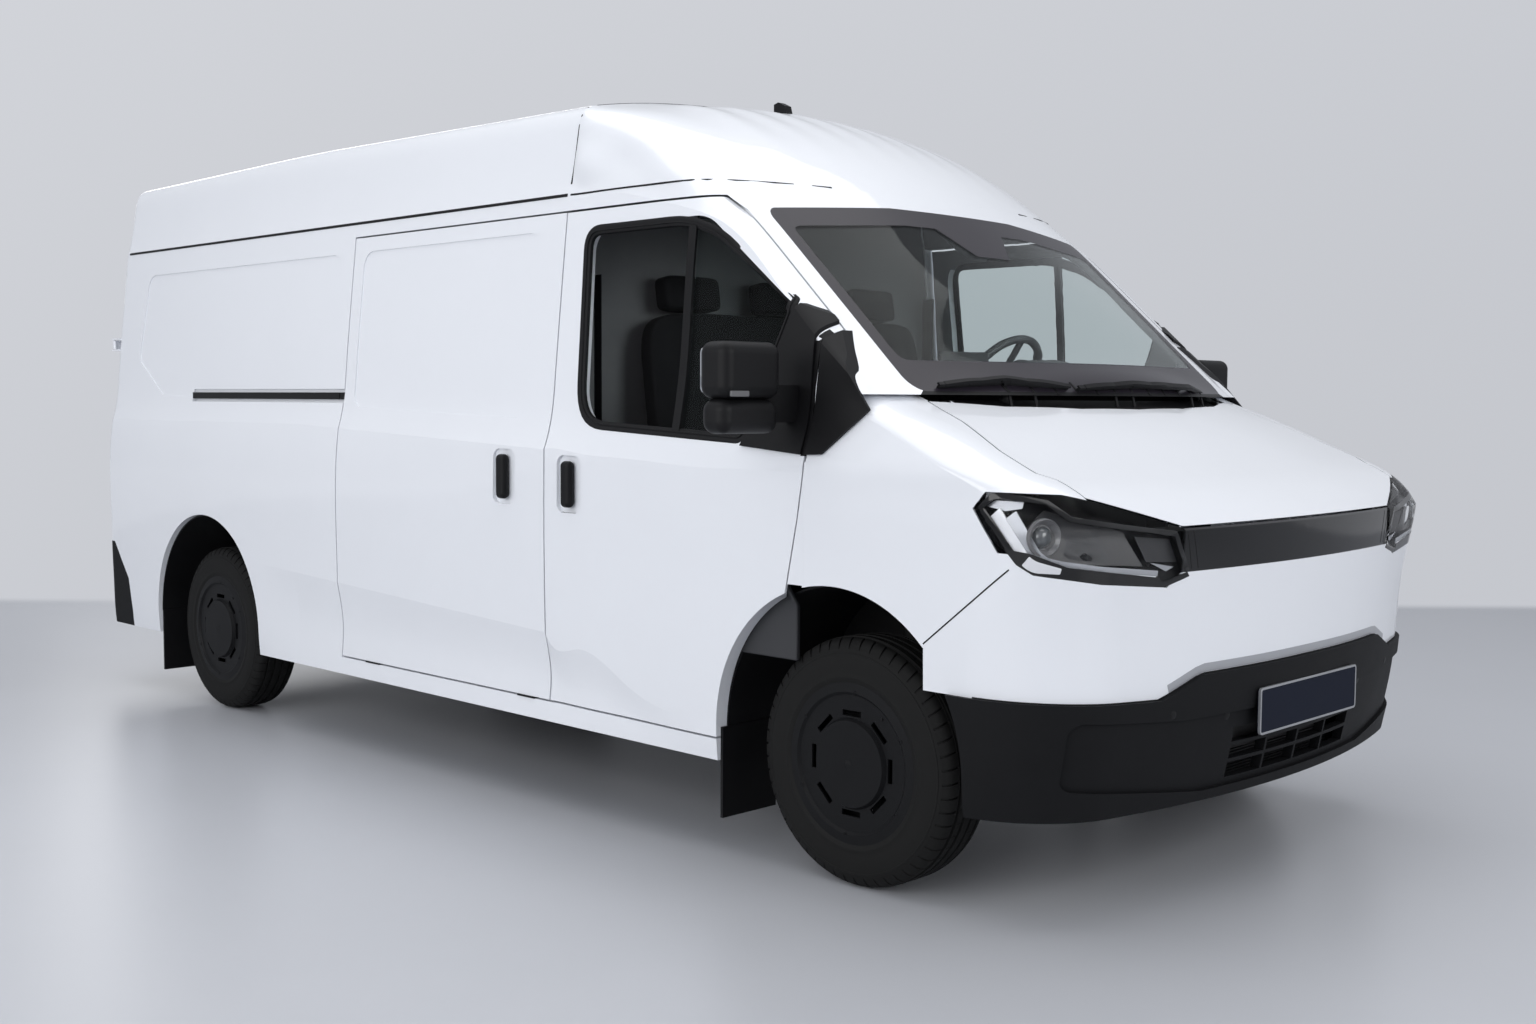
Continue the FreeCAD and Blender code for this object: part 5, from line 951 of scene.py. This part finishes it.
# %% Mirrors
MIRROR_X, MIRROR_Y = 1.6577, -1.1995
GLASSES = ((1.3983, 0.092, 0.060, 0.0552), (1.2773, 0.086, 0.031, 0.0472))
for side, name in ((1, "right"), (-1, "left")):
    body = "front_door_" + name
    glasses = Pile()
    for z, half_y, half_z, behind in GLASSES:
        face = rounded(rect(-half_y, -half_z, half_y, half_z), 0.018)
        back = MIRROR_X - behind
        glasses.plate([(back - 0.0016, side * MIRROR_Y + a, z + b) for a, b in face], (-1, 0, 0), 0.006)
    glasses.make("mirror_glass_" + name, MIRROR, body)
    face = rounded(rect(-0.088, 1.3290, -0.022, 1.3440), 0.003)
    lamp = Pile().plate([(MIRROR_X + 0.0565, side * (MIRROR_Y + y), z) for y, z in face], (1, 0, 0), 0.006)
    lamp.make("mirror_lamp_" + name, TRIM_GREY, body, bevel=0.001)
print("mirrors made")

# %% [markdown]
# The cab: a trim panel inside each door, an instrument hood, a centre screen, vents, a horn pad and belts.

# %% Cab details
ROWS, COLUMNS = 12, 16
CARD_X, CARD_Z = np.linspace(0.72, 1.66, COLUMNS), np.linspace(0.60, 1.165, ROWS)
PANEL_Y, CARD_BACK, CARD_FRONT = -0.80, 0.004, 0.020


def door_card(name, side):
    """Trim panel over a grid of places on the door's inner face, with a soft bulge along it."""
    hits = [[cast(DOOR_SKIN, (x, -0.3, z), (0, -1, 0)) for x in CARD_X] for z in CARD_Z]
    grid = [[hit[0].y if hit and hit[0].y < PANEL_Y else None for hit in row] for row in hits]
    known = [y for row in grid for y in row if y is not None]
    usual = sum(known) / len(known)
    vertices = []
    for depth in (CARD_BACK, CARD_FRONT):
        for z, row in zip(CARD_Z, grid):
            swell = 0.014 * math.exp(-((z - 1.02) / 0.05) ** 2) if depth == CARD_FRONT else 0.0
            places = [usual if y is None else y for y in row]
            vertices += [(x, side * (y + depth + swell), z) for x, y in zip(CARD_X, places)]
    layer = ROWS * COLUMNS
    faces = []
    for i in range(ROWS - 1):
        for j in range(COLUMNS - 1):
            a = i * COLUMNS + j
            faces.append([a, a + COLUMNS, a + COLUMNS + 1, a + 1])
            faces.append([layer + a, layer + a + 1, layer + a + COLUMNS + 1, layer + a + COLUMNS])
    last = (ROWS - 1) * COLUMNS
    border = list(range(COLUMNS)) + [i * COLUMNS + COLUMNS - 1 for i in range(1, ROWS)]
    border += list(range(last + COLUMNS - 2, last - 1, -1)) + [i * COLUMNS for i in range(ROWS - 2, 0, -1)]
    faces += [[a, b, b + layer, a + layer] for a, b in zip(border, border[1:] + border[:1])]
    Pile().add(vertices, faces).make("door_card_" + name, CAB, "front_door_" + name, bevel=0.004)


door_card("right", 1)
door_card("left", -1)
HOOD_REAR = [(0.24, 1.37), (0.56, 1.37), (0.54, 1.452), (0.26, 1.452)]
HOOD_FRONT = [(0.26, 1.375), (0.54, 1.375), (0.52, 1.430), (0.28, 1.430)]
hood = Pile().skin([[(x, y, z) for y, z in rounded(outline, 0.03)]
                    for x, outline in ((1.47, HOOD_REAR), (1.62, HOOD_FRONT))])
hood.make("instrument_hood", CAB, bevel=0.008)
screen = Pile()
screen_face = rounded(rect(-0.130, 1.365, 0.115, 1.475), 0.014)
screen.plate([(1.500 - (z - 1.36) * 0.15, y, z) for y, z in screen_face], (1, 0, 0), 0.016)
screen.make("centre_screen", GLOSS, bevel=0.002)
VENT_PITCH = 0.013
vents = Pile()
for y in (-0.74, -0.20, 0.17, 0.74):
    for k in range(4):
        vents.box((1.440, y - 0.05, 1.268 + VENT_PITCH * k), (1.455, y + 0.05, 1.273 + VENT_PITCH * k))
vents.make("dash_vents", BLACK, bevel=0.001)
WHEEL_TILT, WHEEL_MIDDLE = math.radians(32), Vector((1.294, 0.43, 1.37))
PAD_PROFILE = [(0.0, 0.026), (0.045, 0.024), (0.068, 0.016), (0.076, 0.0), (0.0, 0.0)]
face_way = Vector((-math.cos(WHEEL_TILT), 0, math.sin(WHEEL_TILT)))
pad = Pile().lathe(WHEEL_MIDDLE + face_way * 0.012, face_way, PAD_PROFILE, 32)
pad.make("horn_pad", CAB, "steering_wheel", angle=60)
belts = Pile()
for side in (1, -1):
    outward = Vector((0.2, -side, 0)).normalized()
    path = [(Vector((0.640, side * 0.845, z)), outward) for z in np.linspace(0.75, 1.72, 12)]
    belts.sweep(path, [(-0.024, 0), (-0.024, 0.002), (0.024, 0.002), (0.024, 0)])
belts.make("belts", CLOTH)
print("cab details made")

# %% [markdown]
# A tyre is one turned mesh. Four grooves run round its tread, sipes cut both shoulders block by block, and
# thin rings lie on the sidewall. It stands for the plain solid of the same outline.

# %% Tyres
TYRE_RADIUS, SHOULDER, BLOCKS = 0.342, 0.05, 54


def tyre_profile():
    """Closed outline of (across, radius, sipe depth), from one bead over the tread to the other."""
    outer = [(0.0835, 0.206, 0), (0.0930, 0.218, 0), (0.0962, 0.232, 0), (0.0970, 0.2335, 0),
             (0.0970, 0.2365, 0), (0.0964, 0.238, 0), (0.0970, 0.252, 0), (0.0972, 0.268, 0),
             (0.0962, 0.284, 0), (0.0940, 0.297, 0), (0.0948, 0.298, 0), (0.0944, 0.3015, 0),
             (0.0930, 0.3025, 0), (0.0905, 0.311, 0), (0.0895, 0.3125, 3), (0.0850, 0.3230, 6),
             (0.0790, 0.3310, 7), (0.0720, 0.3365, 7), (0.0640, 0.3390, 7), (0.0560, 0.3400, 6)]
    grooves = []
    for middle in (0.050, 0.017):
        grooves += [(middle + 0.0055, 0.3410, 0), (middle + 0.0035, 0.3335, 0), (middle - 0.0035, 0.3335, 0),
                    (middle - 0.0055, 0.3418, 0)]
    outer += grooves[:4] + [(0.033, 0.3418, 2)] + grooves[4:]
    whole = outer + [(-a, r, d) for a, r, d in reversed(outer)]
    return whole + [(-0.070, 0.2035, 0), (0.070, 0.2035, 0)]


def tyre(name, x, side):
    profile = tyre_profile()
    rings = []
    for i in range(BLOCKS):
        for part, cut in ((0.0, 0), (0.03, 1), (0.13, 1), (0.16, 0), (0.58, 0)):
            ring = []
            for a, r, depth in profile:
                lean = 0.35 * math.copysign(max(0.0, abs(a) - SHOULDER) / SHOULDER, a)
                angle = 2 * math.pi * (i + part + lean) / BLOCKS
                r = min(r, TYRE_RADIUS) - (depth * 0.001 if cut else 0.0)
                ring.append((x + r * math.cos(angle), side * WHEEL_Y + a, WHEEL_Z + r * math.sin(angle)))
            rings.append(ring)
    thing = Pile().skin(rings, closed=True).make("tread_" + name, TYRE, "wheel_" + name, angle=30)
    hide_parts("tyre_" + name)


WHEELS = [("front_left", FRONT_X, 1), ("front_right", FRONT_X, -1), ("rear_left", REAR_X, 1),
          ("rear_right", REAR_X, -1)]
for name, x, side in WHEELS:
    tyre(name, x, side)

# %% [markdown]
# On the wheel covers: a small ring in the middle, six more between the slots, and a valve in its notch. They
# turn with the wheel.

# %% Wheel covers
VALVE_TURN = math.radians(52)
VALVE_PROFILE = [(0.0, 0.040), (0.0045, 0.039), (0.0048, 0.028), (0.0062, 0.026), (0.0070, 0.0), (0.0, 0.0)]


def ring_profile(inner, outer, height):
    return [(inner, 0.0), (inner, height), (outer, height), (outer, 0.0)]


for name, x, side in WHEELS:
    low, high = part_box("rim_" + name)
    face = high[1] if side > 0 else low[1]
    out_way = Vector((0, side, 0))
    at = Vector((x, face, WHEEL_Z))
    cover = Pile().lathe(at - out_way * 0.0008, out_way, ring_profile(0.0125, 0.0150, 0.0010), 32)
    for k in range(6):
        angle = math.radians(26 + 60 * k)
        spoke = Vector((math.cos(angle), 0, math.sin(angle)))
        hit = cast(tree_of("rim_" + name), at + spoke * 0.196 + out_way * 0.2, -out_way)
        if hit:
            cover.lathe(hit[0] - out_way * 0.0005, out_way, ring_profile(0.0035, 0.0060, 0.0012), 16)
    cover.make("cover_marks_" + name, COVER, "wheel_" + name)
    spoke = Vector((math.cos(VALVE_TURN), 0, math.sin(VALVE_TURN)))
    valve = Pile().lathe(at + spoke * 0.172 - out_way * 0.050, out_way, VALVE_PROFILE, 16)
    valve.make("valve_" + name, BLACK, "wheel_" + name)
print("wheel covers made")

# %% [markdown]
# The rear: a pull handle, a lamp bar on the left door, a high brake lamp and the pale fields of the tail
# lamps. No plate is made, because the photograph shows none.

# %% Rear details
REAR_SKIN = tree_of("rear_door_left", "rear_door_right", "roof_rear", "rear_bumper", "tail_lamps")


def from_back(tree, y, z):
    return cast(tree, (-BEYOND, y, z), (1, 0, 0))


def raised(pile, steps):
    """Block over upright rectangles: each step holds a place along the van, a rectangle and its corner."""
    return pile.skin([[(x, y, z) for y, z in rounded(rect(*box), corner)] for x, box, corner in steps])


handle_x = from_back(REAR_SKIN, -0.09, 1.06)[0].x
handle = raised(Pile(), [(handle_x + 0.002, (-0.145, 0.965, -0.045, 1.165), 0.02),
                         (handle_x - 0.006, (-0.142, 0.968, -0.048, 1.162), 0.02)])
raised(handle, [(handle_x - 0.006, (-0.112, 0.985, -0.078, 1.145), 0.012),
                (handle_x - 0.019, (-0.108, 1.000, -0.082, 1.130), 0.012)])
handle.make("rear_handle", BLACK, "rear_door_right", bevel=0.002)
bar_x = from_back(REAR_SKIN, 0.46, 0.92)[0].x
light = raised(Pile(), [(bar_x + 0.004, (0.24, 0.985, 0.68, 1.030), 0.01),
                        (bar_x - 0.012, (0.26, 0.992, 0.66, 1.020), 0.01)])
light.make("plate_lamp", BLACK, "rear_door_left", bevel=0.002)
BRAKE_Z, FIELD_INNER, FIELD_OUTER = 2.235, -0.955, -1.006
brake_line = line_of(from_back, REAR_SKIN, [(-0.16, BRAKE_Z), (0.16, BRAKE_Z)], 0.02)
Pile().sweep(brake_line, strip(0.030, 0.004, 0.006)).make("high_brake_lamp", RED)
fields = Pile()
for z, height in ((0.865, 0.055), (0.945, 0.040)):
    places = rect(FIELD_OUTER, z - height / 2, FIELD_INNER, z + height / 2)
    hits = [from_back(REAR_SKIN, *place) for place in places]
    if all(hits):
        fields.plate([h[0] + Vector((-0.0008, 0, 0)) for h in hits], (-1, 0, 0), 0.004)
if fields.vertices:
    fields.mirror().make("tail_lamp_fields", LAMP_FIELD)
print("rear details made")

# %% [markdown]
# Seats: every cushion, back and headrest is a closed crowned form, pulled in at its seams, on a dark cloth.

# %% Seats
SEAM_DEPTH, SEAM_WIDTH = 0.010, 0.011


def cushion(name, low, high, crown, lean, pivot, groove, node=None):
    """Soft box that swells in its middle, with sewn lines across it at the places of the groove list."""
    low, high = Vector(low), Vector(high)
    middle, half = (low + high) / 2, (high - low) / 2
    lying = half.z < half.x
    work = bmesh.new()
    bmesh.ops.create_cube(work, size=2.0)
    bmesh.ops.subdivide_edges(work, edges=work.edges[:], cuts=15, use_grid_fill=True)
    for vertex in work.verts:
        p = vertex.co.copy()
        size = sum(abs(c) ** 7 for c in p) ** (1 / 7)
        p /= max(size, 1e-6)
        flat = [1 - abs(c) ** 3 for c in p]
        swell = crown * max(0.0, flat[1]) * max(0.0, flat[0] if lying else flat[2])
        place = Vector([c * h for c, h in zip(p, half)])
        if lying:
            place.z += swell * (1 if p.z > 0 else 0.2)
        else:
            place.x += swell * (1 if p.x > 0 else 0.4)
        for line in groove:
            dent = SEAM_DEPTH * math.exp(-((place.y - line) / SEAM_WIDTH) ** 2)
            if lying and p.z > 0.3:
                place.z -= dent
            if not lying and p.x > 0.3:
                place.x -= dent
        vertex.co = middle + place
    turn = Matrix.Rotation(math.radians(-lean), 4, "Y")
    for vertex in work.verts:
        vertex.co = Vector(pivot) + turn @ (vertex.co - Vector(pivot))
    mesh = bpy.data.meshes.new(name)
    work.to_mesh(mesh)
    work.free()
    mesh.materials.append(CLOTH)
    mesh.shade_smooth()
    thing = add_object(name, mesh)
    modifier = thing.modifiers.new("smooth", "SUBSURF")
    modifier.levels = modifier.render_levels = 1
    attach(thing, "body")
    if node:
        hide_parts(node)
    MADE.append(thing)


PIVOT_X, BASE_Z, RECLINE, CROWN = 0.834, 0.862, 8, 0.012
SEATS = [("driver", 0.450, 0.236, "driver_seat", (-0.15, 0.15), (0.0,)),
         ("passenger", -0.250, 0.436, "passenger_bench", (-0.28, 0.0, 0.28), (-0.22, 0.22))]
for name, y, half, node, lines, heads in SEATS:
    pivot = (PIVOT_X - 0.05, y, BASE_Z)
    cushion(name + "_cushion", (0.800, y - half, BASE_Z), (1.208, y + half, BASE_Z + 0.135), CROWN, 0,
            (0, 0, 0), lines, node)
    cushion(name + "_back", (PIVOT_X - 0.098, y - half, BASE_Z + 0.100),
            (PIVOT_X - 0.014, y + half, BASE_Z + 0.755), CROWN, RECLINE, pivot, lines)
    for i, head in enumerate(heads):
        cushion("%s_headrest_%d" % (name, i + 1), (PIVOT_X - 0.092, y + head - 0.125, BASE_Z + 0.762),
                (PIVOT_X - 0.020, y + head + 0.125, BASE_Z + 0.878), 0.010, RECLINE, pivot, ())
print("seats made, pieces so far:", len(MADE))

# %% [markdown]
# A smooth grey floor that fades into the pale backdrop, and four large soft lamps above and round the van.
# The backdrop carries painted light, paler upwards and to the left, and beyond a line the floor glows in it.

# %% Studio
# The backdrop's two tones are painted light: the paler one upwards and to the left, the darker one to the
# lower right.
BACKDROP = (0.56, 0.575, 0.615)
BACKDROP_PAINTED_LIT = (0.655, 0.67, 0.71)
EDGE_FROM_CAMERA, FADE = 10.2, 0.35
FLOOR_LOW, FLOOR_HIGH = (0.46, 0.472, 0.50), (0.49, 0.50, 0.53)
AIR_COLOUR, AIR_STRENGTH = (0.90, 0.93, 1.0, 1.0), 0.55


def backdrop_painted_light(tree, way, target):
    """Colour of the backdrop over a direction, with painted light: paler upwards and to the left."""
    sums = Sums(tree)
    level = sums.op("MULTIPLY_ADD", way[0], -0.45 * math.cos(YAW), 0.30)
    level = sums.op("MULTIPLY_ADD", way[1], -0.45 * math.sin(YAW), level)
    level = sums.op("MULTIPLY_ADD", way[2], 1.1, level)
    shade = new_node(tree, "MapRange")
    shade.interpolation_type = "SMOOTHSTEP"
    tree.links.new(level, shade.inputs["Value"])
    tone = colour_mix(tree, BACKDROP, BACKDROP_PAINTED_LIT)
    tree.links.new(shade.outputs["Result"], tone.inputs["Factor"])
    tree.links.new(tone.outputs["Result"], target)


def studio_floor():
    """Floor finish that turns into a glowing copy of the backdrop, with its painted light, beyond a line
    across the view.
    """
    material, tree, surface = new_material("studio_floor")
    links = tree.links
    sums = Sums(tree)
    mottled(tree, surface, 1.6, FLOOR_LOW, FLOOR_HIGH, 0.33, 0.35)
    place = new_node(tree, "TexCoord")
    split = new_node(tree, "SeparateXYZ")
    links.new(place.outputs["Object"], split.inputs["Vector"])
    far = sums.op("MULTIPLY", split.outputs["X"], -math.sin(YAW))
    far = sums.op("MULTIPLY_ADD", split.outputs["Y"], math.cos(YAW), far)
    start = EDGE_FROM_CAMERA + STAND.dot(Vector((-math.sin(YAW), math.cos(YAW), 0.0)))
    fade = new_node(tree, "MapRange", From_Min=start, From_Max=start + FADE)
    fade.interpolation_type = "SMOOTHSTEP"
    links.new(far, fade.inputs["Value"])
    across = sums.op("ADD", split.outputs["X"], -STAND.x)
    away = sums.op("ADD", split.outputs["Y"], -STAND.y)
    reach = sums.op("MULTIPLY_ADD", across, across, STAND.z ** 2)
    reach = sums.op("SQRT", sums.op("MULTIPLY_ADD", away, away, reach))
    # Emission: the far floor glows in the backdrop's tones, which carry painted light.
    painted_backdrop_glow = new_node(tree, "Emission")
    way = [sums.op("DIVIDE", part, reach) for part in (across, away, -STAND.z)]
    backdrop_painted_light(tree, way, painted_backdrop_glow.inputs["Color"])
    mixed = shader_mix(tree, fade.outputs["Result"], surface.outputs["BSDF"], painted_backdrop_glow.outputs["Emission"])
    links.new(mixed, tree.nodes["Material Output"].inputs["Surface"])
    return material


FLOOR_REACH = 60.0
floor_mesh = bpy.data.meshes.new("studio_floor")
floor_corners = rect(-FLOOR_REACH, -FLOOR_REACH, FLOOR_REACH, FLOOR_REACH)
floor_mesh.from_pydata([(x, y, 0.0) for x, y in floor_corners], [], [(0, 1, 2, 3)])
floor_mesh.materials.append(studio_floor())
floor = add_object("studio_floor", floor_mesh)


def soft_lamp(name, place, target, width, height, power):
    light = bpy.data.lights.new(name, "AREA")
    light.shape = "RECTANGLE"
    light.size, light.size_y, light.energy = width, height, power
    lamp = add_object(name, light)
    lamp.location = place
    lamp.rotation_euler = (Vector(target) - Vector(place)).to_track_quat("-Z", "Y").to_euler()


soft_lamp("top_box", (0.5, -0.5, 6.5), (0.0, 0.0, 0.0), 9.0, 6.0, 215.0)
soft_lamp("side_box", (1.2, -7.5, 2.8), (0.2, 0.0, 0.9), 8.0, 3.4, 235.0)
soft_lamp("front_box", (8.0, -0.2, 3.2), (1.5, 0.0, 1.0), 4.0, 3.0, 145.0)
soft_lamp("rear_box", (-8.0, 3.5, 3.5), (0.0, 0.0, 1.0), 5.0, 3.0, 110.0)

world = bpy.data.worlds.new("studio_air")
bpy.context.scene.world = world
world.use_nodes = True
tree = world.node_tree
air = set_inputs(tree.nodes["Background"], Color=AIR_COLOUR, Strength=AIR_STRENGTH)
sky = new_node(tree, "Background")
path = new_node(tree, "LightPath")
way = new_node(tree, "TexCoord")
split = new_node(tree, "SeparateXYZ")
tree.links.new(way.outputs["Generated"], split.inputs["Vector"])
backdrop_painted_light(tree, [split.outputs[axis] for axis in "XYZ"], sky.inputs["Color"])
direct = Sums(tree).op("MAXIMUM", path.outputs["Is Camera Ray"], path.outputs["Is Transmission Ray"])
mixed = shader_mix(tree, direct, air.outputs["Background"], sky.outputs["Background"])
tree.links.new(mixed, tree.nodes["World Output"].inputs["Surface"])

# %% Finish
print("solids' box", [round(v, 3) for v in (*CAD_LOW, *CAD_HIGH)])
